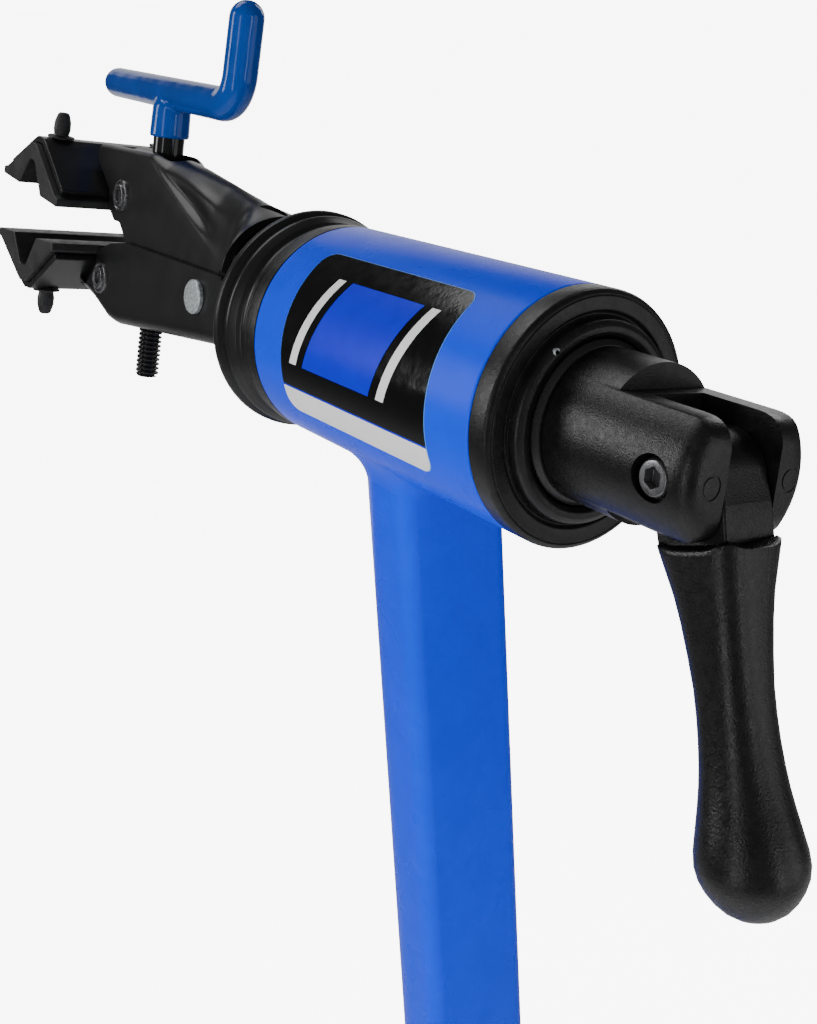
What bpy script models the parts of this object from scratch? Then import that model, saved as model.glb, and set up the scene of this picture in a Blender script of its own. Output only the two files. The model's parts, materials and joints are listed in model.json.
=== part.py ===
"""Folding repair stand for bicycles: a screw clamp on a turning head, a telescopic post and three folding legs.

Metres, +Z up. The origin is on the floor below the middle of the post. The jaws point to -X and the cam lever to +X.
The head is drawn about the middle of its barrel, and what turns with the clamp is drawn in a frame that is rolled
about the barrel's axis.
"""

import math

import bmesh
import bpy
from mathutils import Matrix, Vector

MM = 0.001
GAP = 0.3 * MM

# Barrel of the head
AXIS_HEIGHT = 1220 * MM
BARREL_OFFSET = 15.3 * MM
BARREL_RADIUS = 38 * MM
BARREL_WALL = 2.5 * MM
BARREL_HALF = 59 * MM
SHAFT_RADIUS = 14 * MM
SHAFT_END = 88 * MM
BUSH_RADIUS = 18 * MM
CLAMP_ROLL = math.radians(-12.5)

# Post, a D-shaped tube with its flat side to the rear
POST_WIDTH = 43.5 * MM
POST_DEPTH = 35.6 * MM
POST_CORNER = 6 * MM
POST_WALL = 2.2 * MM
POST_BOTTOM = 420 * MM
SLIDE_ROOM = 1.5 * MM
SLEEVE_WALL = 2.5 * MM
SLEEVE_BOTTOM = 118 * MM
SLEEVE_TOP = 760 * MM

# Jaws, in the rolled frame
LOWER_HALF = 16 * MM
UPPER_HALF = 12.6 * MM
ARM_SHEET = 3 * MM
RIVET = Vector((-147, 0, -3.5)) * MM
SWIVEL = Vector((-219, 0, 37)) * MM
TRUNNION = Vector((-219, 0, -17.4)) * MM
THREAD_RADIUS = 5.3 * MM
STEM_RADIUS = 7 * MM
UPPER_JAW = (Vector((-287, 0, 24)) * MM, math.radians(6.7), 1)
LOWER_JAW = (Vector((-289, 0, 1)) * MM, math.radians(-1.8), -1)
UPPER_BOLT = Vector((-235.5, 0, 27.9)) * MM
LOWER_BOLT = Vector((-244.3, 0, -11.9)) * MM
JAW_BOLT_RADIUS = 3.9 * MM
BELL_BOTTOM = 12.6
COVER_HALF = 38 * MM
PLATE_HALF = 35 * MM
PEG_PLACES = (-25 * MM, 28 * MM)

# Crank handle
BAR_HEIGHT = 77 * MM
BAR_HALF = 75 * MM
BAR_RADIUS = 7.2 * MM
BAR_TURN = math.radians(3.3)
GRIP_ARM_TOP = 120 * MM

# Cam lever, in the rolled frame
LEVER_PIN = Vector((111, 0, -2)) * MM
LEVER_LEAN = math.radians(19)
CAM_RADIUS = 12 * MM
CAM_THROW = 1.2 * MM
BLADE_HALF = 9.4 * MM
SLOT_HALF = 9.8 * MM
YOKE_RADIUS = 22.5 * MM
YOKE_START = 70.9 * MM

# Base
HUB_RADIUS = 42 * MM
HUB_BOTTOM = 112 * MM
HUB_TOP = 190 * MM
LEG_PIN_REACH = 60 * MM
LEG_PIN_HEIGHT = 150 * MM
LEG_RADIUS = 14 * MM
LEG_WALL = 1.8 * MM
LEG_BOLT_RADIUS = 4 * MM
FOOT_HEIGHT = 24 * MM
FRONT_REACH = 620 * MM
FRONT_SPREAD = math.radians(50)
LEGS = (
    ("left", math.pi - FRONT_SPREAD, FRONT_REACH),
    ("right", math.pi + FRONT_SPREAD, FRONT_REACH),
    ("rear", 0.0, FRONT_REACH * math.cos(FRONT_SPREAD)),
)
COLLAR_BOTTOM = 716 * MM
COLLAR_TOP = 776 * MM
COLLAR_BOLT_X = 37 * MM
COLLAR_BOLT_Z = 748 * MM

LOOKS = {
    "blue_paint": ((0.0, 0.11, 0.62), 0.35, 0.0),
    "blue_vinyl": ((0.0, 0.08, 0.34), 0.18, 0.0),
    "black_paint": ((0.012, 0.012, 0.012), 0.4, 0.0),
    "black_plastic": ((0.015, 0.015, 0.015), 0.55, 0.0),
    "black_rubber": ((0.02, 0.02, 0.02), 0.75, 0.0),
    "zinc": ((0.6, 0.62, 0.62), 0.35, 1.0),
    "steel": ((0.5, 0.5, 0.5), 0.3, 1.0),
    "bronze": ((0.55, 0.35, 0.16), 0.4, 1.0),
    "label": ((0.02, 0.02, 0.02), 0.2, 0.0),
}


def clear_scene():
    for obj in list(bpy.data.objects):
        bpy.data.objects.remove(obj, do_unlink=True)


def material(look):
    found = bpy.data.materials.get(look)
    if found:
        return found
    made = bpy.data.materials.new(look)
    made.use_nodes = True
    color, roughness, metallic = LOOKS[look]
    shader = made.node_tree.nodes["Principled BSDF"]
    shader.inputs["Base Color"].default_value = (*color, 1)
    shader.inputs["Roughness"].default_value = roughness
    shader.inputs["Metallic"].default_value = metallic
    return made


def frame(name, place, parent=None, rotation=(0, 0, 0)):
    """An empty that pieces are parented to, on the axis they turn about."""
    empty = bpy.data.objects.new(name, None)
    bpy.context.collection.objects.link(empty)
    empty.parent = parent
    empty.location = place
    empty.rotation_euler = rotation
    return empty


def piece(name, bm, look, parent, pivot=(0, 0, 0)):
    """Makes the object. Its mesh is drawn in its parent's frame and its origin is the pivot, in that frame."""
    bmesh.ops.translate(bm, verts=bm.verts, vec=-Vector(pivot))
    bmesh.ops.recalc_face_normals(bm, faces=bm.faces)
    mesh = bpy.data.meshes.new(name)
    bm.to_mesh(mesh)
    bm.free()
    mesh.shade_smooth()
    mesh.set_sharp_from_angle(angle=math.radians(32))
    mesh.materials.append(material(look))
    obj = bpy.data.objects.new(name, mesh)
    bpy.context.collection.objects.link(obj)
    obj.parent = parent
    obj.location = pivot
    return obj


def change(obj, operation, *tools):
    """Cuts each tool from the object, or joins it on. A tool is a bmesh drawn in the object's parent's frame."""
    for tool in tools:
        helper = piece(f"{obj.name}_{operation.lower()}", tool, "steel", obj.parent, obj.location)
        helper.hide_render = True
        helper.display_type = "WIRE"
        modifier = obj.modifiers.new(helper.name, "BOOLEAN")
        modifier.operation = operation
        modifier.object = helper
    return obj


def cut(obj, *tools):
    return change(obj, "DIFFERENCE", *tools)


def join(obj, *tools):
    return change(obj, "UNION", *tools)


def lathe(profile, segments=40, axis="X", centre=(0, 0, 0)):
    """Turns a closed outline of (distance along the axis, radius) about an axis through the centre."""
    bm = bmesh.new()
    place = {
        "X": lambda a, c, s: (a, c, s),
        "Y": lambda a, c, s: (s, a, c),
        "Z": lambda a, c, s: (c, s, a),
    }[axis]
    rings = []
    for along, radius in profile:
        steps = segments if radius > 0 else 1
        angles = [2 * math.pi * k / steps for k in range(steps)]
        rings.append(
            [bm.verts.new(place(along, radius * math.cos(t), radius * math.sin(t))) for t in angles]
        )
    for first, second in zip(rings, rings[1:] + rings[:1]):
        if len(first) + len(second) == 2:
            continue
        for k in range(segments):
            after = k + 1
            corners = (
                first[k % len(first)],
                first[after % len(first)],
                second[after % len(second)],
                second[k % len(second)],
            )
            bm.faces.new(list(dict.fromkeys(corners)))
    bmesh.ops.recalc_face_normals(bm, faces=bm.faces)
    bmesh.ops.translate(bm, verts=bm.verts, vec=Vector(centre))
    return bm


def rod(radius, low, high, axis="Y", centre=(0, 0, 0), segments=24):
    return lathe([(low, 0), (low, radius), (high, radius), (high, 0)], segments, axis, centre)


def ring(outer, inner, low, high, axis="Y", centre=(0, 0, 0), segments=24):
    outline = [(low, inner), (low, outer), (high, outer), (high, inner)]
    return lathe(outline, segments, axis, centre)


def hex_nut(bolt_radius, radius, low, high, centre=(0, 0, 0)):
    """A nut along Y. Its hole is a hexagon too, which clears the bolt."""
    hole = (bolt_radius + GAP) / math.cos(math.radians(30))
    return lathe([(low, hole), (low, radius), (high, radius), (high, hole)], 6, "Y", centre)


def loft(sections):
    """Joins closed rings of equal count, and closes both ends."""
    bm = bmesh.new()
    rings = [[bm.verts.new(point) for point in section] for section in sections]
    for first, second in zip(rings, rings[1:]):
        for k in range(len(first)):
            after = (k + 1) % len(first)
            bm.faces.new((first[k], first[after], second[after], second[k]))
    bm.faces.new(rings[0][::-1])
    bm.faces.new(rings[-1])
    bmesh.ops.recalc_face_normals(bm, faces=bm.faces)
    return bm


def plate(outline, low, high, axis="Y"):
    """A flat outline made solid between two places along an axis. The outline is (x, z), or (x, y) for axis Z."""
    if axis == "Y":
        return loft([[(a, at, b) for a, b in outline] for at in (low, high)])
    return loft([[(a, b, at) for a, b in outline] for at in (low, high)])


def box(low, high):
    (x0, y0, z0), (x1, y1, z1) = low, high
    return plate([(x0, z0), (x1, z0), (x1, z1), (x0, z1)], y0, y1)


def millimetres(*points):
    return [(a * MM, b * MM) for a, b in points]


def arc(centre, radius, start, end, steps):
    """Points along an arc, with the angles in degrees."""
    angles = [math.radians(start + (end - start) * k / steps) for k in range(steps + 1)]
    return [(centre[0] + radius * math.cos(t), centre[1] + radius * math.sin(t)) for t in angles]


def slot(x_low, x_high, half_width, steps=8):
    """A slot's outline along X, round at both ends."""
    return arc((x_high - half_width, 0), half_width, -90, 90, steps) + arc(
        (x_low + half_width, 0), half_width, 90, 270, steps
    )


# ---- post ----------------------------------------------------------------------------------------


def d_outline(grow):
    """The post's D-shaped section, grown outwards: a half round to -X and a flat with two corners to +X."""
    half = POST_WIDTH / 2 + grow
    rear = POST_DEPTH / 2 + grow
    front = half - (POST_DEPTH / 2 + grow)
    corner = POST_CORNER + grow
    return (
        arc((front, 0), half, 90, 270, 14)
        + arc((rear - corner, corner - half), corner, -90, 0, 3)
        + arc((rear - corner, half - corner), corner, 0, 90, 3)
    )


def d_tube(outer, inner, low, high):
    """A tube of the post's section: its outer and its inner growth, and its two ends."""
    loops = [(outer, low), (outer, high), (inner, high), (inner, low)]
    bm = bmesh.new()
    rings = [[bm.verts.new((x, y, z)) for x, y in d_outline(grow)] for grow, z in loops]
    for first, second in zip(rings, rings[1:] + rings[:1]):
        for k in range(len(first)):
            after = (k + 1) % len(first)
            bm.faces.new((first[k], first[after], second[after], second[k]))
    return bm


def d_solid(steps):
    """A solid of the post's section whose size changes along Z: (growth, height) for each step."""
    return loft([[(x, y, z) for x, y in d_outline(grow)] for grow, z in steps])


def make_post(head):
    barrel = ring(BARREL_RADIUS, BARREL_RADIUS - BARREL_WALL, -BARREL_HALF, BARREL_HALF, "X", segments=56)
    piece("barrel_tube", barrel, "blue_paint", head)
    drop = Vector((-BARREL_OFFSET, 0, -AXIS_HEIGHT))
    post = d_tube(0, -POST_WALL, POST_BOTTOM, AXIS_HEIGHT - BARREL_RADIUS / 2)
    bmesh.ops.translate(post, verts=post.verts, vec=drop)
    upper = piece("upper_post", post, "blue_paint", head, drop)
    saddle = rod(BARREL_RADIUS + GAP, -BARREL_HALF, BARREL_HALF, "X", segments=56)
    cut(upper, saddle)
    plug = POST_WALL + GAP
    glide = d_solid(
        [
            (SLIDE_ROOM - GAP, POST_BOTTOM - 6 * MM),
            (SLIDE_ROOM - GAP, POST_BOTTOM - GAP),
            (-plug, POST_BOTTOM - GAP),
            (-plug, POST_BOTTOM + 20 * MM),
        ]
    )
    bmesh.ops.translate(glide, verts=glide.verts, vec=drop)
    piece("post_glide", glide, "black_plastic", head, drop)


def make_caps(head):
    plug = BARREL_RADIUS - BARREL_WALL - GAP
    front = [(-46 * MM, BUSH_RADIUS), (-46 * MM, plug), (-BARREL_HALF - GAP, plug)] + millimetres(
        (-59.3, 37.8), (-66.5, 37.8), (-67.5, 36.8), (-67.5, 18)
    )
    piece("front_cap", lathe(front, 40), "black_plastic", head)
    rear = [(46 * MM, BUSH_RADIUS), (46 * MM, plug), (BARREL_HALF + GAP, plug)] + millimetres(
        (59.3, 38), (65.5, 38), (67.1, 36.9), (67.1, 32.5), (65.2, 31.6),
        (70.5, 28.2), (70.5, 26), (66.5, 24), (66.5, 18),
    )
    piece("rear_cap", lathe(rear, 40), "black_plastic", head)
    for name, low, high in (("front_bush", -67, -47), ("rear_bush", 47, 66)):
        bush = ring(BUSH_RADIUS - GAP, SHAFT_RADIUS + GAP, low * MM, high * MM, "X", segments=32)
        piece(name, bush, "bronze", head)
    washer = ring(21.5 * MM, SHAFT_RADIUS + GAP, 66.9 * MM, YOKE_START - GAP, "X", segments=32)
    piece("thrust_washer", washer, "steel", head)


def make_label(head):
    """A thin sticker on the barrel's -Y side."""
    low, high, steps = 113, 204, 20
    edges = arc((0, 0), BARREL_RADIUS + GAP, low, high, steps)
    edges += arc((0, 0), BARREL_RADIUS + GAP + 0.4 * MM, high, low, steps)
    sections = [[(x * MM, y, z) for y, z in edges] for x in (-41, 40)]
    piece("side_label", loft(sections), "label", head)


# ---- clamp ---------------------------------------------------------------------------------------


def make_spindle(clamp):
    piece("clamp_shaft", rod(SHAFT_RADIUS, -89.5 * MM, SHAFT_END, "X", segments=32), "steel", clamp)
    profile = millimetres(
        (-68, 14.3), (-68, 36.4), (-71.6, 36.4), (-75, 39.4), (-78.8, 38.8), (-80, 38), (-82.6, 40.8),
        (-85.4, 40), (-85.4, 33), (-80, 32), (-80, 14.3),
    )
    piece("clamp_flange", lathe(profile, 40), "black_paint", clamp)


def jaw_point(jaw, along, out):
    """From a jaw's own directions, along the jaw to +X and out of its back, to (x, z) in the clamp's frame."""
    place, lean, side = jaw
    x = place.x + along * math.cos(lean) + out * side * math.sin(lean)
    z = place.z - along * math.sin(lean) + out * side * math.cos(lean)
    return x, z


def jaw_outline(jaw, *points):
    return [jaw_point(jaw, along * MM, out * MM) for along, out in points]


def make_upper_arm(clamp):
    """The fixed arm: a channel open below, whose sides hang inside the lower arm's."""
    outer = millimetres((-85.8, 34), (-118, 35.5), (-150, 40), (-190, 50), (-250, 50.5))
    outer += jaw_outline(UPPER_JAW, (11, 26), (36.6, 9.8), (38, 2))
    outer += millimetres((-243, 15.5), (-237, 15.5), (-223, 3), (-172, 3), (-161, -6))
    outer += arc((RIVET.x, RIVET.z), 12.5 * MM, 205, 335, 6)
    outer += millimetres((-132, 1), (-113, 1), (-110, -14), (-85.8, -22))
    inner = millimetres((-90.5, 31), (-118, 32.5), (-150, 37), (-190, 47), (-290, 47.5), (-290, -30), (-90.5, -30))
    arm = piece("upper_arm", plate(outer, -UPPER_HALF, UPPER_HALF), "black_paint", clamp)
    cut(arm, plate(inner, ARM_SHEET - UPPER_HALF, UPPER_HALF - ARM_SHEET))
    cut(arm, plate(slot(-231 * MM, -199 * MM, 8.5 * MM), 30 * MM, 60 * MM, "Z"))
    join(arm, loft([bell_section(k / 8) for k in range(9)]))
    join(arm, rod(30.5 * MM, -90.6 * MM, -80.5 * MM, "X", segments=40))
    cut(arm, rod(SHAFT_RADIUS + GAP, -100 * MM, -70 * MM, "X", segments=32))
    cut(arm, rod(5 * MM, -30 * MM, 30 * MM, "Y", RIVET), rod(JAW_BOLT_RADIUS + GAP, -30 * MM, 30 * MM, "Y", UPPER_BOLT))


def bell_section(share):
    """The flared root of the upper arm is a thin arch, open below. The share is 0 at its start and 1 at its mouth."""
    half = 11.5 + 15.5 * share**1.5
    top = 38 - 2.8 * share
    section = []
    for inset, angles in ((0, range(0, 181, 12)), (ARM_SHEET / MM, range(180, -1, -12))):
        for angle in angles:
            rise = abs(math.sin(math.radians(angle))) ** 0.85
            across = (half - inset) * math.cos(math.radians(angle))
            section.append(((-141 + 33 * share) * MM, across * MM, (BELL_BOTTOM + (top - inset - BELL_BOTTOM) * rise) * MM))
    return section


def make_lower_arm(clamp):
    """The moving arm: a channel open above, on the rivet."""
    outer = millimetres((-116, -3), (-121, 4.5), (-130, 7.9), (-221, 7.9), (-236, 5.5))
    outer += jaw_outline(LOWER_JAW, (38, 2), (37, 11), (25, 20.5))
    outer += millimetres((-254, -23.5), (-233, -31), (-128, -20), (-119, -12))
    inner = millimetres((-105, 14), (-290, 14), (-290, -10), (-255, -19.5), (-233, -28), (-128, -17), (-105, -8))
    arm = piece("lower_arm", plate(outer, -LOWER_HALF, LOWER_HALF), "black_paint", clamp, RIVET)
    inside = LOWER_HALF - ARM_SHEET
    cut(arm, plate(inner, -inside, inside))
    web_hole = plate(slot(-233 * MM, -200 * MM, 7.5 * MM), -50 * MM, -22 * MM, "Z")
    cut(arm, web_hole, rod(5 * MM, -30 * MM, 30 * MM, "Y", RIVET))
    cut(arm, rod(JAW_BOLT_RADIUS + GAP, -30 * MM, 30 * MM, "Y", LOWER_BOLT))


def make_jaw(name, jaw, bolt, arm_half, clamp, pivot):
    """The bent steel plate that backs a cover, with two lugs that its bolt holds inside the arm."""
    inner = jaw_outline(jaw, (-34, 5), (-6.2, 21.2), (-3.1, 22.8), (3.1, 22.8), (6.2, 21.2), (34, 5))
    outer = jaw_outline(jaw, (35.5, 7.6), (7.7, 23.9), (3.8, 25.8), (-3.8, 25.8), (-7.7, 23.9), (-35.5, 7.6))
    back = piece(name, plate(inner + outer, -PLATE_HALF, PLATE_HALF), "black_paint", clamp, pivot)
    lug = jaw_outline(jaw, (10, 20.7), (17, 22), (33, 16), (36.5, 11.5))
    lug += arc((bolt.x, bolt.z), 9.5 * MM, 60 * jaw[2], -120 * jaw[2], 8)
    lug += jaw_outline(jaw, (34.5, 6.3))
    for side in (-1, 1):
        inside = arm_half - ARM_SHEET - GAP
        low, high = sorted((side * (inside - ARM_SHEET), side * inside))
        join(back, plate(lug, low, high))
    cut(back, rod(JAW_BOLT_RADIUS + GAP, -30 * MM, 30 * MM, "Y", bolt))
    for place in PEG_PLACES:
        cut(back, peg(jaw, place, [(10, 0), (10, 4.4), (30, 4.4), (30, 0)]))
    return back


def peg(jaw, place, outline):
    """A turned shape that stands out of a jaw's back."""
    origin, lean, side = jaw
    bm = lathe([(along * MM, radius * MM) for along, radius in outline], 16, "Z")
    turn = Matrix.Rotation(math.pi, 4, "X") if side < 0 else Matrix.Identity(4)
    move = Matrix.Translation((origin.x, place, origin.z)) @ Matrix.Rotation(lean, 4, "Y") @ turn
    bmesh.ops.transform(bm, matrix=move, verts=bm.verts)
    return bm


def make_cover(name, jaw, clamp, pivot):
    """The rubber cover: a thick V with a groove for the bicycle's tube, and two pegs pushed through the plate."""
    outline = jaw_outline(
        jaw, (-37, 0), (-37, 4), (-33, 4.6), (-6, 20.6), (-3, 22.2), (3, 22.2), (6, 20.6), (33, 4.6),
        (37, 4), (37, 0), (15, 0), (4.5, 12), (0, 14), (-4.5, 12), (-14, 0),
    )
    cover = piece(name, plate(outline, -COVER_HALF, COVER_HALF), "black_rubber", clamp, pivot)
    stud = [(20, 0), (20, 3.9), (26.2, 3.9), (26.2, 6.4), (27.4, 6.4), (27.6, 4), (36, 3.7), (38.5, 2.6), (38.5, 0)]
    for place in PEG_PLACES:
        join(cover, peg(jaw, place, stud))
    return cover


def make_jaw_bolt(name, place, arm_half, clamp, pivot):
    face = arm_half + GAP
    top = face + 3.3 * MM
    end = face + 6.7 * MM
    head = [(-top, 0), (-top, 6.2 * MM), (0.8 * MM - top, 6.9 * MM), (-face, 6.9 * MM)]
    shank = [(-face, JAW_BOLT_RADIUS), (end, JAW_BOLT_RADIUS), (end, 0)]
    bolt = piece(f"{name}_bolt", lathe(head + shank, 24, "Y", place), "black_paint", clamp, pivot)
    socket = [(-end, 0), (-end, 3.2 * MM), (2.6 * MM - top, 3.2 * MM), (2.6 * MM - top, 0)]
    cut(bolt, lathe(socket, 6, "Y", place))
    nut = hex_nut(JAW_BOLT_RADIUS, 7.4 * MM, face, end - 1 * MM, place)
    piece(f"{name}_nut", nut, "black_paint", clamp, pivot)


def make_rivet(clamp):
    profile = millimetres(
        (-18.4, 0), (-18.4, 5.9), (-17.8, 6.4), (-16.3, 6.4), (-16.3, 4.7),
        (16.3, 4.7), (16.3, 6.4), (17.8, 6.4), (18.4, 5.9), (18.4, 0),
    )
    piece("arm_rivet", lathe(profile, 24, "Y", RIVET), "zinc", clamp, RIVET)


def make_screw(swivel_frame, nut_frame, crank_frame):
    """The swivel and the nut are cross dowels. The screw turns in the first and draws the second up."""
    swivel = piece("screw_swivel", rod(8.6 * MM, -9.2 * MM, 9.2 * MM), "steel", swivel_frame)
    cut(swivel, rod(THREAD_RADIUS + GAP, -20 * MM, 20 * MM, "Z"))
    cut(swivel, box((-12 * MM, -20 * MM, 5 * MM), (12 * MM, 20 * MM, 12 * MM)))
    nut = piece("trunnion_nut", rod(8.5 * MM, -12.4 * MM, 12.4 * MM), "steel", nut_frame)
    cut(nut, rod(THREAD_RADIUS + 0.9 * MM, -20 * MM, 20 * MM, "Z"))
    low = -53.5 * MM - SWIVEL.z
    screw = [
        (low, 0), (low, THREAD_RADIUS - 1 * MM), (low + 1.2 * MM, THREAD_RADIUS), (5.3 * MM, THREAD_RADIUS),
        (5.3 * MM, STEM_RADIUS), (30.5 * MM, STEM_RADIUS), (30.5 * MM, 0),
    ]
    piece("crank_screw", lathe(screw, 24, "Z"), "black_paint", crank_frame)
    make_crank(crank_frame)


def swept(path, radius, segments=14):
    """A round bar along a path in the XZ plane, with round ends."""
    sections = []
    steps = 4
    ends = [math.radians(90 * k / steps) for k in range(steps)]
    first = (path[1] - path[0]).normalized()
    last = (path[-1] - path[-2]).normalized()
    rows = [(path[0] - first * radius * math.cos(t), first, radius * math.sin(t)) for t in ends[1:]]
    for k, point in enumerate(path):
        before = path[max(k - 1, 0)]
        after = path[min(k + 1, len(path) - 1)]
        rows.append((point, (after - before).normalized(), radius))
    rows += [(path[-1] + last * radius * math.cos(t), last, radius * math.sin(t)) for t in ends[:0:-1]]
    side = Vector((0, 1, 0))
    for point, along, size in rows:
        up = along.cross(side)
        angles = [2 * math.pi * k / segments for k in range(segments)]
        sections.append([point + (side * math.cos(t) + up * math.sin(t)) * size for t in angles])
    return loft(sections)


def make_crank(crank_frame):
    height = BAR_HEIGHT - SWIVEL.z
    bend = 13 * MM
    corner = arc((BAR_HALF - BAR_RADIUS - bend, height + bend), bend, -90, 0, 8)
    path = [Vector((BAR_RADIUS - BAR_HALF, 0, height))]
    path += [Vector((x, 0, z)) for x, z in corner]
    path.append(Vector((BAR_HALF - BAR_RADIUS, 0, GRIP_ARM_TOP - BAR_RADIUS - SWIVEL.z)))
    bar = swept(path, BAR_RADIUS)
    bmesh.ops.rotate(bar, verts=bar.verts, matrix=Matrix.Rotation(-BAR_TURN, 3, "Z"))
    handle = piece("crank_handle", bar, "blue_vinyl", crank_frame)
    low = 20 * MM
    join(handle, lathe([(low, 0), (low, 8.8 * MM), (height, 8.8 * MM), (height, 0)], 24, "Z"))
    cut(handle, rod(STEM_RADIUS + GAP, 0, 30.8 * MM, "Z"))


# ---- lock ----------------------------------------------------------------------------------------


def make_yoke(clamp):
    """The moulded hub on the shaft's rear end, with a slot and two ears for the cam lever."""
    bore = SHAFT_RADIUS + GAP
    profile = [(YOKE_START, bore), (YOKE_START, YOKE_RADIUS)] + millimetres(
        (116, 22.5), (119.5, 21.7), (122.3, 19.6), (123.8, 16.4), (124.2, 12.5), (124.2, 8.3)
    )
    profile += [(SHAFT_END + GAP, 8.3 * MM), (SHAFT_END + GAP, bore)]
    yoke = piece("cam_yoke", lathe(profile, 36), "black_plastic", clamp)
    far = 130 * MM
    ears = [(91.5 * MM, 15.2 * MM)]
    ears += arc((115.4 * MM, 6.4 * MM), 8.8 * MM, 90, 0, 6)
    ears += arc((115.4 * MM, -8.2 * MM), 8.8 * MM, 0, -90, 6)
    ears += [(91.5 * MM, -17 * MM), (91.5 * MM, -far), (far, -far), (far, far), (91.5 * MM, far)]
    cut(yoke, plate(ears, -far, far))
    cut(yoke, box((97 * MM, -SLOT_HALF, -far - 1 * MM), (far + 1 * MM, SLOT_HALF, far + 1 * MM)))
    hole = millimetres((-30, 0), (-30, 5.8), (-16.5, 5.8), (-16.5, 3.3), (16.5, 3.3), (16.5, 5.8), (30, 5.8), (30, 0))
    cut(yoke, lathe(hole, 22, "Y", LEVER_PIN))
    pad_end = LEVER_PIN.x - CAM_RADIUS - CAM_THROW - GAP
    piece("thrust_pad", rod(8 * MM, 89.5 * MM, pad_end, "X"), "steel", clamp)
    head = millimetres((-21.3, 0), (-21.3, 4.6), (-20.8, 5), (-16.8, 5), (-16.8, 3), (20.5, 3), (20.5, 0))
    screw = piece("lever_screw", lathe(head, 24, "Y", LEVER_PIN), "zinc", clamp, LEVER_PIN)
    cut(screw, lathe(millimetres((-24, 0), (-24, 2.9), (-18.4, 2.9), (-18.4, 0)), 6, "Y", LEVER_PIN))
    nut = hex_nut(3 * MM, 5.5 * MM, 16.8 * MM, 20 * MM, LEVER_PIN)
    piece("lever_nut", nut, "zinc", clamp, LEVER_PIN)


def lever_section(along, half_x, half_y, power, count=20):
    """A rounded section across the lever: a superellipse, the squarer the higher its power."""
    points = []
    for k in range(count):
        t = 2 * math.pi * k / count
        c, s = math.cos(t), math.sin(t)
        x = half_x * math.copysign(abs(c) ** (2 / power), c)
        y = half_y * math.copysign(abs(s) ** (2 / power), s)
        points.append((x, y, -along))
    return points


def make_lever(lever_frame):
    """Drawn about the pin with the lever straight down. Its frame leans it outwards."""
    cam = arc((-CAM_THROW, 0), CAM_RADIUS, 0, 180, 16)
    blade = [(-11.3 * MM, -21 * MM), (-7 * MM, -21 * MM), (-7 * MM, -72 * MM)]
    blade += [(-x, z) for x, z in reversed(blade)]
    lever = piece("cam_lever", plate(cam + blade, -BLADE_HALF, BLADE_HALF), "black_paint", lever_frame)
    for side in (-1, 1):
        low, high = sorted((side * 5 * MM, side * 12 * MM))
        cut(lever, box((-15 * MM, low, -80 * MM), (15 * MM, high, -21.6 * MM)))
    cut(lever, rod(3.3 * MM, -20 * MM, 20 * MM))
    shape = [
        (16.5, 14.4, 13.2, 3.4), (28, 12.1, 11.4, 2.8), (40, 10.6, 10.2, 2.4), (53, 9.8, 9.7, 2.2),
        (66, 10, 10.1, 2), (76, 10.9, 10.9, 2), (85, 12.7, 12.7, 2), (93, 14.2, 14.2, 2),
        (100, 12.2, 12.2, 2), (104.7, 8.4, 8.4, 2), (107.3, 3, 3, 2),
    ]
    grip = loft([lever_section(s * MM, a * MM, b * MM, p) for s, a, b, p in shape])
    handle = piece("lever_grip", grip, "black_plastic", lever_frame)
    room = BLADE_HALF + GAP
    cut(handle, box((-12 * MM, -room, -21.9 * MM), (12 * MM, room, -10 * MM)))
    cut(handle, box((-7.3 * MM, -5.3 * MM, -72.3 * MM), (7.3 * MM, 5.3 * MM, -15 * MM)))


# ---- base ----------------------------------------------------------------------------------------


def make_sleeve(base):
    inner = SLIDE_ROOM
    outer = SLIDE_ROOM + SLEEVE_WALL
    piece("lower_post", d_tube(outer, inner, SLEEVE_BOTTOM, SLEEVE_TOP), "blue_paint", base)
    plug = d_solid(
        [
            (outer - 1 * MM, HUB_BOTTOM + 1 * MM),
            (outer - 1 * MM, SLEEVE_BOTTOM - GAP),
            (inner - GAP, SLEEVE_BOTTOM - GAP),
            (inner - GAP, SLEEVE_BOTTOM + 18 * MM),
        ]
    )
    piece("base_plug", plug, "black_plastic", base)


def make_collar(base, lever_frame):
    """The split collar that grips the upper post, and the cam lever that closes it."""
    outer = SLIDE_ROOM + SLEEVE_WALL
    wall = outer + 5.5 * MM
    collar = piece("height_collar", d_solid([(wall, COLLAR_BOTTOM), (wall, COLLAR_TOP)]), "black_plastic", base)
    ears = box((20 * MM, -12 * MM, COLLAR_BOTTOM + 8 * MM), (46 * MM, 12 * MM, COLLAR_TOP - 4 * MM))
    join(collar, ears)
    cut(collar, d_solid([(outer + GAP, 0.6), (outer + GAP, SLEEVE_TOP + GAP)]))
    cut(collar, d_solid([(0.4 * MM, 0.6), (0.4 * MM, 0.9)]))
    cut(collar, box((10 * MM, -2 * MM, 0.6), (60 * MM, 2 * MM, 0.9)))
    bolt = (COLLAR_BOLT_X, 0, COLLAR_BOLT_Z)
    cut(collar, rod(3.3 * MM, -30 * MM, 30 * MM, "Y", bolt))
    stem = millimetres((-27, 0), (-27, 3), (22, 3), (22, 0))
    shank = piece("collar_bolt", lathe(stem, 20, "Y", bolt), "zinc", base, bolt)
    pin = (COLLAR_BOLT_X, -21 * MM, COLLAR_BOLT_Z)
    cut(shank, rod(1.8 * MM, -10 * MM, 10 * MM, "Z", pin, 12))
    piece("collar_pin", rod(1.5 * MM, -9.5 * MM, 9.5 * MM, "Z", pin, 12), "zinc", base, pin)
    nut = hex_nut(3 * MM, 7 * MM, 12.3 * MM, 18.5 * MM, bolt)
    piece("collar_nut", nut, "zinc", base, bolt)
    make_collar_lever(lever_frame)


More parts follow.
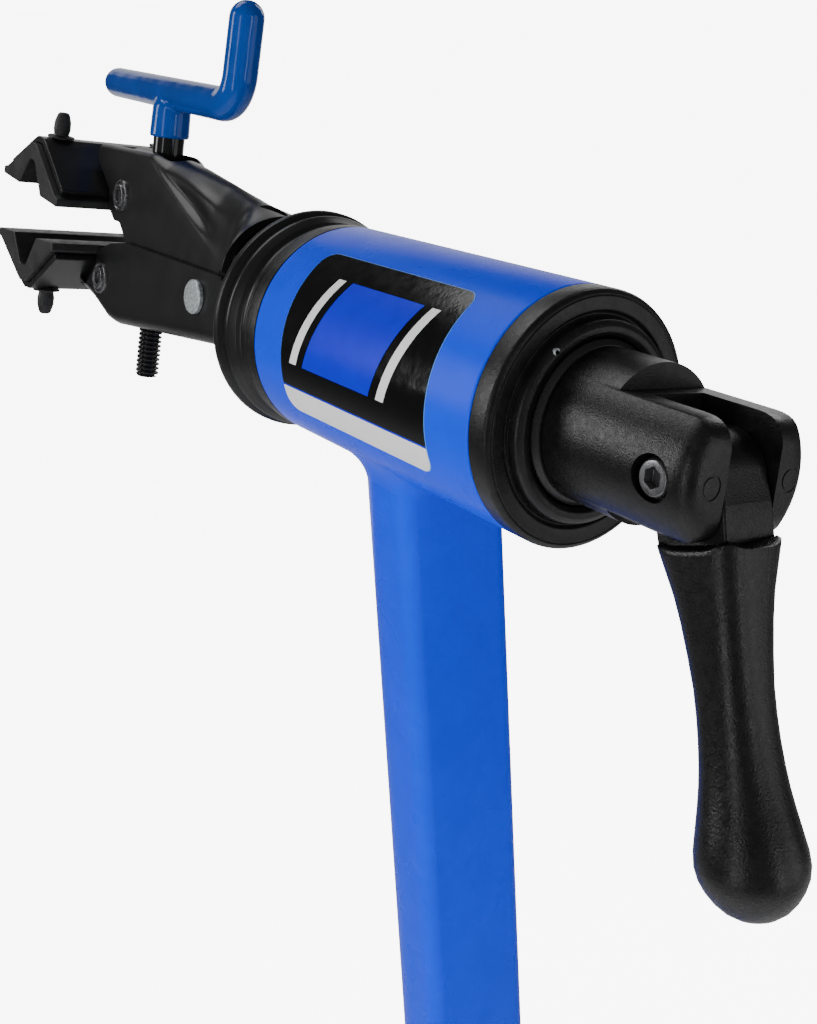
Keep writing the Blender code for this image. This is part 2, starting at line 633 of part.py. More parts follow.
def make_collar_lever(lever_frame):
    """Drawn about its own upright pin. It lies along the collar when closed."""
    outline = arc((0, 0), 8.6 * MM, 75, -100, 12) + millimetres(
        (-6, -13), (-14, -16.5), (-40, -17.5), (-60, -17), (-66, -14), (-60, -11.8), (-40, -11.9),
        (-15, -11.6), (-8, -6), (-7.4, 4),
    )
    lever = piece("collar_lever", plate(outline, -9 * MM, 9 * MM, "Z"), "black_plastic", lever_frame)
    cut(lever, box((-6.9 * MM, -20 * MM, -3.4 * MM), (20 * MM, 20 * MM, 3.4 * MM)))
    cut(lever, rod(1.8 * MM, -20 * MM, 20 * MM, "Z", segments=12))


def make_hub(base):
    """The casting at the post's foot, with a pair of ears for each leg."""
    profile = [(HUB_BOTTOM, 0), (HUB_BOTTOM, 40 * MM), (HUB_BOTTOM + 2 * MM, HUB_RADIUS)]
    profile += [(HUB_TOP - 4 * MM, HUB_RADIUS), (HUB_TOP, 38 * MM), (HUB_TOP, 0)]
    hub = piece("base_hub", lathe(profile, 30, "Z"), "black_paint", base)
    ear = arc((LEG_PIN_REACH + 2 * MM, LEG_PIN_HEIGHT), 15 * MM, -80, 80, 5)
    ear += [(36 * MM, HUB_TOP - 6 * MM), (36 * MM, HUB_BOTTOM + 4 * MM)]
    for _, bearing, _ in LEGS:
        for side in (-1, 1):
            low, high = sorted((side * 14.6 * MM, side * 19.6 * MM))
            cheek = plate(ear, low, high)
            bmesh.ops.rotate(cheek, verts=cheek.verts, matrix=Matrix.Rotation(bearing, 3, "Z"))
            join(hub, cheek)
    cut(hub, d_solid([(SLIDE_ROOM + SLEEVE_WALL + GAP, HUB_BOTTOM - 9 * MM), (SLIDE_ROOM + SLEEVE_WALL + GAP, 0.3)]))
    for _, bearing, _ in LEGS:
        hole = rod(LEG_BOLT_RADIUS + GAP, -30 * MM, 30 * MM, "Y", (LEG_PIN_REACH, 0, LEG_PIN_HEIGHT), 14)
        bmesh.ops.rotate(hole, verts=hole.verts, matrix=Matrix.Rotation(bearing, 3, "Z"))
        cut(hub, hole)


def star_knob():
    """A lobed hand knob on the end of a leg's bolt, along Y."""
    count = 42
    outline = []
    for k in range(count):
        t = 2 * math.pi * k / count
        radius = (14.5 + 1.7 * math.cos(7 * t)) * MM
        outline.append((radius * math.cos(t), radius * math.sin(t)))
    lobes = plate(outline, 24 * MM, 36 * MM)
    boss = rod(9 * MM, 19.9 * MM, 27 * MM, segments=18)
    return lobes, boss, rod(LEG_BOLT_RADIUS + GAP, 10 * MM, 25.5 * MM, segments=14)


def make_leg(name, reach, bearing, base):
    """A leg with its foot, pivot bolt and knob, in frames that stand at its pivot."""
    slope = math.atan2(LEG_PIN_HEIGHT - FOOT_HEIGHT, reach - LEG_PIN_REACH)
    length = (reach - LEG_PIN_REACH) / math.cos(slope)
    spot = Matrix.Rotation(bearing, 4, "Z") @ Vector((LEG_PIN_REACH, 0, LEG_PIN_HEIGHT))
    pivot = frame(f"{name}_leg_pivot", spot, base, (0, 0, bearing))
    tilted = frame(f"{name}_leg_line", (0, 0, 0), pivot, (0, slope, 0))
    tube = lathe(
        [(-10 * MM, LEG_RADIUS - LEG_WALL), (-10 * MM, LEG_RADIUS), (length - 6 * MM, LEG_RADIUS),
         (length - 6 * MM, LEG_RADIUS - LEG_WALL)],
        24,
    )
    leg = piece(f"{name}_leg", tube, "blue_paint", tilted)
    cut(leg, rod(LEG_BOLT_RADIUS + GAP, -20 * MM, 20 * MM, segments=14))
    head = millimetres((-24.4, 0), (-24.4, 6.6), (-19.9, 6.6), (-19.9, 4), (25, 4), (25, 0))
    piece(f"{name}_leg_bolt", lathe(head, 20, "Y"), "zinc", pivot)
    lobes, boss, hole = star_knob()
    knob = piece(f"{name}_leg_knob", lobes, "black_plastic", pivot)
    join(knob, boss)
    cut(knob, hole)
    make_foot(name, length, slope, tilted)


def make_foot(name, length, slope, tilted):
    """A rubber boot on the leg's end with a flat pad below. The pad is level when the leg is down."""
    boot = [(-46, 0), (-46, 17.4), (-44, 18.4), (1, 18.4), (7, 15.4), (9, 10), (9, 0)]
    profile = [(length + a * MM, r * MM) for a, r in boot]
    foot = piece(f"{name}_foot", lathe(profile, 20), "black_rubber", tilted)
    pad = lathe(millimetres((-24, 0), (-24, 22), (-11, 22), (-6, 18), (-6, 0)), 22, "Z")
    move = Matrix.Translation((length, 0, 0)) @ Matrix.Rotation(-slope, 4, "Y")
    bmesh.ops.transform(pad, matrix=move, verts=pad.verts)
    join(foot, pad)
    cut(foot, rod(LEG_RADIUS + GAP, 0, length - 5.7 * MM, "X"))


def main():
    clear_scene()
    base = frame("base", (0, 0, 0))
    head = frame("head", (BARREL_OFFSET, 0, AXIS_HEIGHT))
    clamp = frame("clamp", (0, 0, 0), head, (CLAMP_ROLL, 0, 0))
    swivel_frame = frame("swivel", SWIVEL, clamp)
    nut_frame = frame("nut", TRUNNION, clamp)
    crank_frame = frame("crank", SWIVEL, clamp)
    lever_frame = frame("lever", LEVER_PIN, clamp, (0, -LEVER_LEAN, 0))
    collar_frame = frame("collar", (COLLAR_BOLT_X, -21 * MM, COLLAR_BOLT_Z), base)
    make_post(head)
    make_caps(head)
    make_label(head)
    make_spindle(clamp)
    make_upper_arm(clamp)
    make_lower_arm(clamp)
    make_jaw("upper_jaw", UPPER_JAW, UPPER_BOLT, UPPER_HALF, clamp, (0, 0, 0))
    make_jaw("lower_jaw", LOWER_JAW, LOWER_BOLT, LOWER_HALF, clamp, RIVET)
    make_cover("upper_cover", UPPER_JAW, clamp, (0, 0, 0))
    make_cover("lower_cover", LOWER_JAW, clamp, RIVET)
    make_jaw_bolt("upper_jaw", UPPER_BOLT, UPPER_HALF, clamp, (0, 0, 0))
    make_jaw_bolt("lower_jaw", LOWER_BOLT, LOWER_HALF, clamp, RIVET)
    make_rivet(clamp)
    make_screw(swivel_frame, nut_frame, crank_frame)
    make_yoke(clamp)
    make_lever(lever_frame)
    make_sleeve(base)
    make_collar(base, collar_frame)
    make_hub(base)
    for name, bearing, reach in LEGS:
        make_leg(name, reach, bearing, base)


main()
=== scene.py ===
"""The looks of the bicycle repair stand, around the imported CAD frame.

Lengths here are in millimetres. The head is drawn about the middle of its barrel. What turns with the
clamp is drawn in the clamp's space, whose X runs along the barrel to the lever and whose Z runs along the
crank's screw.
"""

import json
import math

import bmesh
import bpy
from mathutils import Matrix, Vector


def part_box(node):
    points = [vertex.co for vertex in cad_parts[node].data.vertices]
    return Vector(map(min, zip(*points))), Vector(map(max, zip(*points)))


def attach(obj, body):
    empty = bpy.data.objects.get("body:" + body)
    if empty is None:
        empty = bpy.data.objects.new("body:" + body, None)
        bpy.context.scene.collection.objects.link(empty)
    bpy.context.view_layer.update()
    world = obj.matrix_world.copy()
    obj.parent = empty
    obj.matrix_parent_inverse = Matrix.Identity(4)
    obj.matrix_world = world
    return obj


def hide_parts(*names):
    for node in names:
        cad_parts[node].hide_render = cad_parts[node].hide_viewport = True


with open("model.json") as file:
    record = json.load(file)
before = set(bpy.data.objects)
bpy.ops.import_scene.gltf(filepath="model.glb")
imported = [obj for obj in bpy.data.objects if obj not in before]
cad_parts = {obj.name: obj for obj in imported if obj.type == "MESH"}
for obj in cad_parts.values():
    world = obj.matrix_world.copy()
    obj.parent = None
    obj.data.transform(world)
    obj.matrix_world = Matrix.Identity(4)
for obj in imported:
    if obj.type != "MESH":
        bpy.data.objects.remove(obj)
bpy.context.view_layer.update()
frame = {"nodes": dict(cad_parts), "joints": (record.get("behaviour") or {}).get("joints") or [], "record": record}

MM = 0.001
JOINTS = {joint["name"]: joint for joint in frame["joints"]}


def head_space():
    return Matrix.Translation(Vector(JOINTS["clamp_spin"]["pos_m"]))


def clamp_space():
    """The frame that the clamp is square in: it is rolled about the barrel's axis."""
    x = Vector(JOINTS["clamp_spin"]["axis"])
    y = Vector(JOINTS["jaw_pivot"]["axis"])
    turn = Matrix((x, y, x.cross(y))).transposed().to_4x4()
    return head_space() @ turn


HEAD = head_space()
CLAMP = clamp_space()


def pivot_of(joint):
    """A joint's place in the clamp's space, in millimetres."""
    return (CLAMP.inverted() @ Vector(JOINTS[joint]["pos_m"])) / MM


def extent(node):
    """A CAD node's box in the head's space, in millimetres."""
    low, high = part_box(node)
    return (low - HEAD.translation) / MM, (high - HEAD.translation) / MM


RIVET = pivot_of("jaw_pivot")
SWIVEL = pivot_of("screw_tilt")
LEVER_PIN = pivot_of("cam_lever_turn")
BARREL_R = extent("barrel_tube")[1].z
BARREL_END = extent("barrel_tube")[1].x
POST_LOW, POST_HIGH = extent("upper_post")
POST_HALF = POST_HIGH.y

CAMERA_PLACE = (313.1, -231.8, 128.1)
CAMERA_ANGLES = (55.12, 15.51, -3.25)
CAMERA_LENS = 44.49
CAMERA_SHIFT = -0.197
BACKGROUND_GLOW = 8
AMBIENT = 0.08
FLOOR_RADIUS = 60
EYELET_R = 28.3
EYELET_ANGLE = 121
LOWER_HALF = 16
UPPER_HALF = 12.6
SHEET = 3
THREAD_R = 5.3
THREAD_PITCH = 2.1
STEM_R = 7
LEVER_LEAN = math.radians(19)
BLADE_HALF = 9.4
GRIP_SHIFT = 0.5
JAW_HALF = 38
PLATE_HALF = 35
PEG_PLACES = (-25, 28)
UPPER_JAW = (Vector((-288.4, 0, 23.4)), math.radians(6.7), 1)
LOWER_JAW = (Vector((-289, 0, 1)), math.radians(-1.8), -1)
UPPER_BOLT = Vector((-236.8, 0, 27.7))
LOWER_BOLT = Vector((-244.3, 0, -11.9))


# ---- materials -----------------------------------------------------------------------------------


class Look:
    """A Principled material with procedural colour, roughness and bump in object space."""

    def __init__(self, name, color, roughness, metallic=0.0, **sockets):
        self.material = bpy.data.materials.new(name)
        self.material.use_nodes = True
        self.tree = self.material.node_tree
        self.shader = self.tree.nodes["Principled BSDF"]
        self.shader.inputs["Base Color"].default_value = (*color, 1)
        self.shader.inputs["Roughness"].default_value = roughness
        self.shader.inputs["Metallic"].default_value = metallic
        for socket, value in sockets.items():
            self.shader.inputs[socket.replace("_", " ")].default_value = value
        self.color = color
        self.roughness = roughness
        self.place = self.tree.nodes.new("ShaderNodeTexCoord").outputs["Object"]
        self.normal = None

    def link(self, out, into):
        self.tree.links.new(out, into)

    def texture(self, kind, size, detail=2.0, stretch=(1, 1, 1)):
        """A texture whose features are about size millimetres across."""
        mapping = self.tree.nodes.new("ShaderNodeMapping")
        mapping.inputs["Scale"].default_value = stretch
        self.link(self.place, mapping.inputs["Vector"])
        node = self.tree.nodes.new(kind)
        node.inputs["Scale"].default_value = 1 / (size * MM)
        if "Detail" in node.inputs:
            node.inputs["Detail"].default_value = detail
        self.link(mapping.outputs["Vector"], node.inputs["Vector"])
        return node.outputs["Fac"] if "Fac" in node.outputs else node.outputs["Distance"]

    def ramp(self, value, low, high, start=0.3, end=0.7):
        node = self.tree.nodes.new("ShaderNodeMapRange")
        limits = {"From Min": start, "From Max": end, "To Min": low, "To Max": high}
        for socket, number in limits.items():
            node.inputs[socket].default_value = number
        node.interpolation_type = "SMOOTHSTEP"
        self.link(value, node.inputs["Value"])
        return node.outputs["Result"]

    def mottled(self, size, amount, kind="ShaderNodeTexNoise"):
        """The colour drifts lighter and darker."""
        mix = self.tree.nodes.new("ShaderNodeMix")
        mix.data_type = "RGBA"
        darker = [c * (1 - amount) for c in self.color]
        mix.inputs["A"].default_value = (*darker, 1)
        lighter = [min(1, c * (1 + amount) + amount * 0.01) for c in self.color]
        mix.inputs["B"].default_value = (*lighter, 1)
        self.link(self.ramp(self.texture(kind, size), 0, 1), mix.inputs["Factor"])
        self.link(mix.outputs["Result"], self.shader.inputs["Base Color"])
        return self

    def smeared(self, size, spread):
        """The roughness drifts."""
        noise = self.texture("ShaderNodeTexNoise", size)
        drift = self.ramp(noise, self.roughness - spread, self.roughness + spread)
        self.link(drift, self.shader.inputs["Roughness"])
        return self

    def grained(self, size, depth, kind="ShaderNodeTexNoise", detail=2.0, stretch=(1, 1, 1)):
        """A bump of that depth in millimetres."""
        bump = self.tree.nodes.new("ShaderNodeBump")
        bump.inputs["Strength"].default_value = 1
        bump.inputs["Distance"].default_value = depth * MM
        self.link(self.texture(kind, size, detail, stretch), bump.inputs["Height"])
        if self.normal:
            self.link(self.normal, bump.inputs["Normal"])
        self.normal = bump.outputs["Normal"]
        self.link(self.normal, self.shader.inputs["Normal"])
        return self


def make_looks():
    return {
        "blue_paint": Look("blue_powder_coat", (0.0, 0.056, 0.95), 0.28, Specular_IOR_Level=0.1)
        .mottled(14, 0.03).smeared(20, 0.02).grained(0.8, 0.005, detail=1),
        "blue_vinyl": Look("blue_dipped_vinyl", (0.0, 0.05, 0.3), 0.12, Specular_IOR_Level=0.4)
        .mottled(20, 0.06).smeared(10, 0.03).grained(9, 0.12, detail=0),
        "black_paint": Look("satin_black_paint", (0.007, 0.007, 0.0074), 0.3)
        .mottled(20, 0.05).smeared(12, 0.02).grained(0.6, 0.012).grained(14, 0.1, detail=0),
        "gloss_black": Look("gloss_black", (0.008, 0.008, 0.009), 0.12)
        .smeared(6, 0.04).grained(5, 0.02),
        "black_oxide": Look("black_oxide_steel", (0.2, 0.2, 0.21), 0.28, 0.9)
        .mottled(3, 0.15).smeared(4, 0.06).grained(0.6, 0.01),
        "black_plastic": Look("textured_black_plastic", (0.004, 0.004, 0.0042), 0.33)
        .mottled(6, 0.15).smeared(2, 0.05).grained(0.5, 0.1, detail=2),
        "smooth_plastic": Look("smooth_black_plastic", (0.012, 0.012, 0.012), 0.3)
        .smeared(6, 0.05).grained(1.5, 0.01),
        "grip": Look("pebbled_grip", (0.005, 0.005, 0.0052), 0.3)
        .mottled(5, 0.1).smeared(2, 0.05).grained(0.6, 0.13),
        "black_rubber": Look("black_rubber", (0.013, 0.0132, 0.0135), 0.5)
        .mottled(12, 0.2).smeared(5, 0.08).grained(0.8, 0.03).grained(10, 0.15, detail=0),
        "zinc": Look("zinc_plate", (0.42, 0.46, 0.47), 0.42, 0.55)
        .mottled(1.2, 0.25).smeared(0.8, 0.1).grained(0.7, 0.03),
        "steel": Look("turned_steel", (0.5, 0.5, 0.5), 0.25, 1.0)
        .mottled(3, 0.1).smeared(2, 0.08).grained(0.5, 0.01, stretch=(8, 1, 1)),
        "bronze": Look("sintered_bronze", (0.5, 0.32, 0.14), 0.4, 1.0)
        .mottled(1, 0.2).grained(0.5, 0.02, "ShaderNodeTexVoronoi"),
        "label_black": Look("label_black", (0.003, 0.003, 0.003), 0.12, Specular_IOR_Level=0.4)
        .smeared(5, 0.03).grained(1.3, 0.02, detail=1),
        "label_white": Look("label_white", (0.93, 0.93, 0.94), 0.25)
        .mottled(8, 0.02).grained(1.3, 0.02, detail=1),
        "label_blue": Look("label_blue", (0.0, 0.008, 0.7), 0.25, Specular_IOR_Level=0.25)
        .mottled(8, 0.04).grained(1.3, 0.02, detail=1),
        "label_edge": Look("label_edge", (0.1, 0.3, 0.75), 0.3)
        .mottled(8, 0.04).grained(1.3, 0.02, detail=1),
        "floor": Look("pale_floor", (0.86, 0.86, 0.86), 0.7).mottled(400, 0.01),
    }


# ---- building ------------------------------------------------------------------------------------


def made(name, bm, space):
    """A smooth-shaded object from a bmesh in millimetres in that space."""
    bmesh.ops.scale(bm, vec=(MM, MM, MM), verts=bm.verts)
    bmesh.ops.recalc_face_normals(bm, faces=bm.faces)
    mesh = bpy.data.meshes.new(name)
    bm.to_mesh(mesh)
    bm.free()
    obj = bpy.data.objects.new(name, mesh)
    bpy.context.collection.objects.link(obj)
    obj.matrix_world = space
    bpy.context.view_layer.update()
    return obj


def bake(obj):
    """Applies the object's modifiers."""
    graph = bpy.context.evaluated_depsgraph_get()
    mesh = bpy.data.meshes.new_from_object(obj.evaluated_get(graph))
    obj.modifiers.clear()
    old = obj.data
    obj.data = mesh
    bpy.data.meshes.remove(old)
    mesh.name = obj.name


def carve(obj, operation, *tools):
    """Cuts, joins or keeps bmeshes drawn in the object's own space, and applies the result."""
    helpers = []
    for k, tool in enumerate(tools):
        helper = made(f"{obj.name}_tool_{k}", tool, obj.matrix_world)
        modifier = obj.modifiers.new("carve", "BOOLEAN")
        modifier.operation = operation
        modifier.object = helper
        helpers.append(helper)
    bake(obj)
    for helper in helpers:
        mesh = helper.data
        bpy.data.objects.remove(helper)
        bpy.data.meshes.remove(mesh)
    return obj


def dress(obj, look, slot, body, *nodes, edge=0.0, sharp=38):
    """Rounds the piece's edges, gives it its material and puts it on its body, in place of CAD nodes."""
    mesh = obj.data
    mesh.materials.clear()
    mesh.materials.append(LOOKS[look].material)
    for polygon in mesh.polygons:
        polygon.material_index = 0
    mesh.shade_smooth()
    if edge:
        bevel = obj.modifiers.new("edges", "BEVEL")
        bevel.width = edge * MM
        bevel.segments = 3
        bevel.limit_method = "ANGLE"
        bevel.angle_limit = math.radians(sharp)
        bevel.harden_normals = True
    else:
        mesh.set_sharp_from_angle(angle=math.radians(sharp))
    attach(obj, body)
    if nodes:
        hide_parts(*nodes)
    return obj


def lathe(profile, segments=72, axis="X", centre=(0, 0, 0)):
    """Turns a closed outline of (distance along the axis, radius) about an axis through the centre."""
    bm = bmesh.new()
    place = {
        "X": lambda a, c, s: (a, c, s),
        "Y": lambda a, c, s: (s, a, c),
        "Z": lambda a, c, s: (c, s, a),
    }[axis]
    rings = []
    for along, radius in profile:
        steps = segments if radius > 0 else 1
        angles = [2 * math.pi * k / steps for k in range(steps)]
        rings.append(
            [bm.verts.new(place(along, radius * math.cos(t), radius * math.sin(t))) for t in angles]
        )
    for first, second in zip(rings, rings[1:] + rings[:1]):
        if len(first) + len(second) == 2:
            continue
        for k in range(segments):
            after = k + 1
            corners = (
                first[k % len(first)],
                first[after % len(first)],
                second[after % len(second)],
                second[k % len(second)],
            )
            bm.faces.new(list(dict.fromkeys(corners)))
    bmesh.ops.translate(bm, verts=bm.verts, vec=Vector(centre))
    return bm


def rod(radius, low, high, axis="Y", centre=(0, 0, 0), segments=48):
    return lathe([(low, 0), (low, radius), (high, radius), (high, 0)], segments, axis, centre)


def loft(sections, closed=True):
    bm = bmesh.new()
    rings = [[bm.verts.new(point) for point in section] for section in sections]
    last = 0 if closed else 1
    for first, second in zip(rings, rings[1:]):
        for k in range(len(first) - last):
            after = (k + 1) % len(first)
            bm.faces.new((first[k], first[after], second[after], second[k]))
    if closed:
        bm.faces.new(rings[0][::-1])
        bm.faces.new(rings[-1])
    return bm


def plate(outline, low, high, axis="Y"):
    """A flat outline made solid between two places. The outline is (x, z), or (x, y) for axis Z."""
    if axis == "Y":
        return loft([[(a, at, b) for a, b in outline] for at in (low, high)])
    return loft([[(a, b, at) for a, b in outline] for at in (low, high)])


def box(low, high):
    (x0, y0, z0), (x1, y1, z1) = low, high
    return plate([(x0, z0), (x1, z0), (x1, z1), (x0, z1)], y0, y1)


def arc(centre, radius, start, end, steps):
    angles = [math.radians(start + (end - start) * k / steps) for k in range(steps + 1)]
    return [(centre[0] + radius * math.cos(t), centre[1] + radius * math.sin(t)) for t in angles]


def rounded(points, radius, steps=4, closed=True):
    """The outline with its corners rounded. A point's third number is a radius of its own."""
    result = []
    count = len(points)
    for k, point in enumerate(points):
        here = Vector(point[:2])
        size = point[2] if len(point) > 2 else radius
        if not closed and k in (0, count - 1):
            result.append(tuple(here))
            continue
        before = Vector(points[k - 1][:2]) - here
        after = Vector(points[(k + 1) % count][:2]) - here
        angle = before.angle(after, 0)
        if size <= 0 or angle < 0.02 or angle > 3.1:
            result.append(tuple(here))
            continue
        reach = min(size / math.tan(angle / 2), 0.48 * before.length, 0.48 * after.length)
        start, end = here + before.normalized() * reach, here + after.normalized() * reach
        for step in range(steps + 1):
            t = step / steps
            result.append(tuple(start * (1 - t) ** 2 + here * 2 * t * (1 - t) + end * t**2))
    return result


def slot(x_low, x_high, half_width, steps=12):
    return arc((x_high - half_width, 0), half_width, -90, 90, steps) + arc(
        (x_low + half_width, 0), half_width, 90, 270, steps
    )


def ease(t):
    t = min(1, max(0, t))
    return t * t * (3 - 2 * t)


def between(x, *points):
    """Interpolates in straight lines through (x, value) points in rising order of x."""
    if x <= points[0][0]:
        return points[0][1]
    for (x0, a), (x1, b) in zip(points, points[1:]):
        if x <= x1:
            return a + (b - a) * (x - x0) / (x1 - x0)
    return points[-1][1]


# ---- head ----------------------------------------------------------------------------------------


def d_outline(steps=40, corner=6):
    """The post's section: half round towards the jaws, flat with two small corners towards the lever."""
    low, high = POST_LOW.x, POST_HIGH.x
    half = POST_HALF
    points = arc((low + half, 0), half, 90, 270, steps)
    points += arc((high - corner, corner - half), corner, -90, 0, 8)
    points += arc((high - corner, half - corner), corner, 0, 90, 8)
    return points


def barrel_bottom(y):
    return -math.sqrt(max(0, BARREL_R**2 - y**2))


def make_barrel():
    wall = 2.5
    inner = BARREL_R - wall
    profile = rounded([(-BARREL_END, inner), (-BARREL_END, BARREL_R, 0.8), (BARREL_END, BARREL_R, 0.8),
                       (BARREL_END, inner)], 0)
    barrel = made("head_barrel", lathe(profile, 128), HEAD)
    dress(barrel, "blue_paint", "blue_paint", "head", "barrel_tube")
    outline = d_outline()
    sections = []
    for z in (POST_LOW.z, POST_LOW.z + 0.6, -120, -60, -31):
        inset = 0.6 if z == POST_LOW.z else 0
        centre = Vector(((POST_LOW.x + POST_HIGH.x) / 2, 0))
        section = [Vector(p) + (centre - Vector(p)).normalized() * inset for p in outline]
        sections.append([(p.x, p.y, z) for p in section])
    post = made("post_tube", loft(sections), HEAD)
    dress(post, "blue_paint", "blue_paint", "head", "upper_post")
    make_weld(outline)


def make_weld(outline, reach=5.5, drop=7, steps=10):
    """The concave fillet of weld and paint between the barrel and the post."""
    bm = bmesh.new()
    rings = []
    count = len(outline)
    for k, point in enumerate(outline):
        here = Vector(point)
        along = (Vector(outline[(k + 1) % count]) - Vector(outline[k - 1])).normalized()
        out = Vector((along.y, -along.x))
        swell = 1 + 0.04 * math.sin(k * 1.7) + 0.03 * math.sin(k * 0.6 + 1)
        far = here + out * reach * swell
        foot = Vector((here.x, here.y, barrel_bottom(here.y)))
        top = Vector((far.x, far.y, barrel_bottom(far.y)))
        low = foot - Vector((0, 0, drop * swell))
        corner = foot + (top - foot) * 0.12 - Vector((0, 0, 1.2))
        ring = [top + Vector((0, 0, 0.6))]
        for step in range(steps + 1):
            t = step / steps
            ring.append(top * (1 - t) ** 2 + corner * 2 * t * (1 - t) + low * t**2)
        inner = Vector((out.x, out.y, 0)) * 0.6
        ring += [low - inner, foot - inner + Vector((0, 0, 1))]
        rings.append([bm.verts.new(p) for p in ring])
    for k in range(count):
        first, second = rings[k], rings[(k + 1) % count]
        size = len(first)
        for i in range(size):
            j = (i + 1) % size
            bm.faces.new((first[i], first[j], second[j], second[i]))
    dress(made("weld_fillet", bm, HEAD), "blue_paint", "blue_paint", "head", sharp=60)


def wrapped(name, rows, lift, look, thickness=0.08):
    """A thin patch on the barrel. Rows are (angle in degrees, lowest x, highest x)."""
    bm = bmesh.new()
    rings = []
    for angle, low, high in rows:
        t = math.radians(angle)
        ring = []
        for radius in (BARREL_R + lift, BARREL_R + lift + thickness):
            for x in (low, high) if radius == BARREL_R + lift else (high, low):
                ring.append(bm.verts.new((x, radius * math.cos(t), radius * math.sin(t))))
        rings.append(ring)
    for first, second in zip(rings, rings[1:]):
        for i in range(4):
            j = (i + 1) % 4
            bm.faces.new((first[i], first[j], second[j], second[i]))
    bm.faces.new(rings[0][::-1])
    bm.faces.new(rings[-1])
    return made(name, bm, HEAD), look


def rectangle_rows(x_low, x_high, start, end, corner_start, corner_end, steps=60):
    """Rows of a rounded rectangle between two angles, with the corner radius at each end in millimetres."""
    per_degree = math.radians(1) * BARREL_R
    rows = []
    for k in range(steps + 1):
        t = 0.5 - 0.5 * math.cos(math.pi * k / steps)
        angle = start + (end - start) * t
        inset = 0.0
        for corner, distance in (
            (corner_start, (angle - start) * per_degree),
            (corner_end, (end - angle) * per_degree),
        ):
            if corner and distance < corner:
                inset = max(inset, corner - math.sqrt(max(0, corner**2 - (corner - distance) ** 2)))
        rows.append((angle, x_low + inset, x_high - inset))
    return rows


def make_label():
    """A glossy sticker with a plain stripe design of its own."""
    low, high = extent("side_label")
    low_x, high_x = low.x + 0.4, high.x - 0.4
    start, split, end = 113.2, 188.4, 203.6
    inner_low, inner_high = low_x + 0.3, high_x - 0.3
    border = rectangle_rows(low_x, high_x, start, end, 5.5, 5.5)
    panel = rectangle_rows(inner_low, inner_high, start + 0.5, split, 5.3, 0)
    line = rectangle_rows(inner_low, inner_high, split, split + 0.9, 0, 0, 4)
    strip = rectangle_rows(inner_low, inner_high, split + 0.9, end - 0.5, 0, 5.3)
    parts = [
        wrapped("label_border", border, 0.02, "label_edge"),
        wrapped("label_panel", panel, 0.12, "label_black"),
        wrapped("label_line", line, 0.12, "label_blue"),
        wrapped("label_strip", strip, 0.12, "label_white"),
    ]
    for name, first, last, look in (
        ("label_bar_left", -29, -25, "label_white"),
        ("label_bar_main", -21, 17, "label_blue"),
        ("label_bar_right", 21, 25, "label_white"),
    ):
        rows = []
        for k in range(25):
            angle = 128 + 48 * k / 24
            shift = 0.24 * (152 - angle)
            rows.append((angle, first + shift, last + shift))
        parts.append(wrapped(name, rows, 0.2, look))
    for k, (obj, look) in enumerate(parts):
        dress(obj, look, "label", "head", *(["side_label"] if k == 1 else []))


def make_caps():
    """The moulded caps that close the barrel, the washer behind the yoke and the small eyelet in the cap."""
    front = rounded([(-46, 20), (-46, 35), (-59.3, 35), (-59.3, 37.9, 0.6), (-65.4, 37.9, 0.5),
                     (-65.9, 37.2, 0.2), (-66.3, 37.6, 0.4), (-68, 37.6, 0.8), (-68.4, 36, 0.3),
                     (-68.4, 20)], 0)
    cap = made("front_cap_rim", lathe(front, 128), HEAD)
    dress(cap, "black_plastic", "black_plastic", "head", "front_cap", sharp=50)
    rear = rounded([(46, 20), (46, 35), (59.3, 35), (59.3, 38, 0.5), (66.2, 38, 1.5), (67.1, 36.4, 0.6),
                    (66.6, 36.1, 0.2), (67.1, 35.8, 0.3), (67.1, 31.8, 1.0), (65.6, 30.7, 0.9), (66.6, 30, 0.5),
                    (69.4, 29.6, 1.8), (70.4, 27.7, 1.4), (70.4, 26, 1.2), (68.8, 24.6, 0.8), (66.4, 24.2, 0.6),
                    (66.4, 20)], 0)
    cap = made("rear_cap_rim", lathe(rear, 128), HEAD)
    angle = math.radians(EYELET_ANGLE)
    spot = (0, EYELET_R * math.cos(angle), EYELET_R * math.sin(angle))
    carve(cap, "DIFFERENCE", rod(0.6, 67, 75, "X", spot, 24))
    dress(cap, "black_plastic", "black_plastic", "head", "rear_cap", sharp=50)
    washer = rounded([(66.6, 14.4), (66.6, 24.1), (69.2, 24.1, 0.4), (70.6, 22.6, 0.6), (70.6, 14.4)], 0)
    ring = made("sliding_washer", lathe(washer, 96), HEAD)
    dress(ring, "smooth_plastic", "black_plastic", "head", "thrust_washer")
    eyelet = rounded([(68.9, 0.62), (68.9, 1.15), (70.2, 1.15, 0.3), (70.2, 0.62, 0.1)], 0)
    eye = made("cap_eyelet", lathe(eyelet, 24, "X", spot), HEAD)
    dress(eye, "zinc", "zinc", "head")


# ---- clamp ---------------------------------------------------------------------------------------


def make_flange():
    """The disc that turns with the clamp: a rounded rib and a lip, with a groove between them."""
    profile = rounded([(-68.9, 14.3), (-68.9, 35.4, 0.5), (-71.8, 36, 2), (-73.2, 37.6, 1), (-76.4, 39.7, 2.4),
                       (-79.2, 39, 0.8), (-79.8, 38, 0.2), (-80.4, 39, 0.6), (-81.4, 40.8, 1),
                       (-83.8, 40.9, 1.2), (-85.3, 39.4, 1), (-85.3, 36, 1), (-84, 34, 1), (-80.4, 33, 0.6),
                       (-80.4, 14.3)], 0, 5)
    flange = made("turning_flange", lathe(profile, 128), CLAMP)
    dress(flange, "black_paint", "black_paint", "clamp", "clamp_flange", sharp=50)


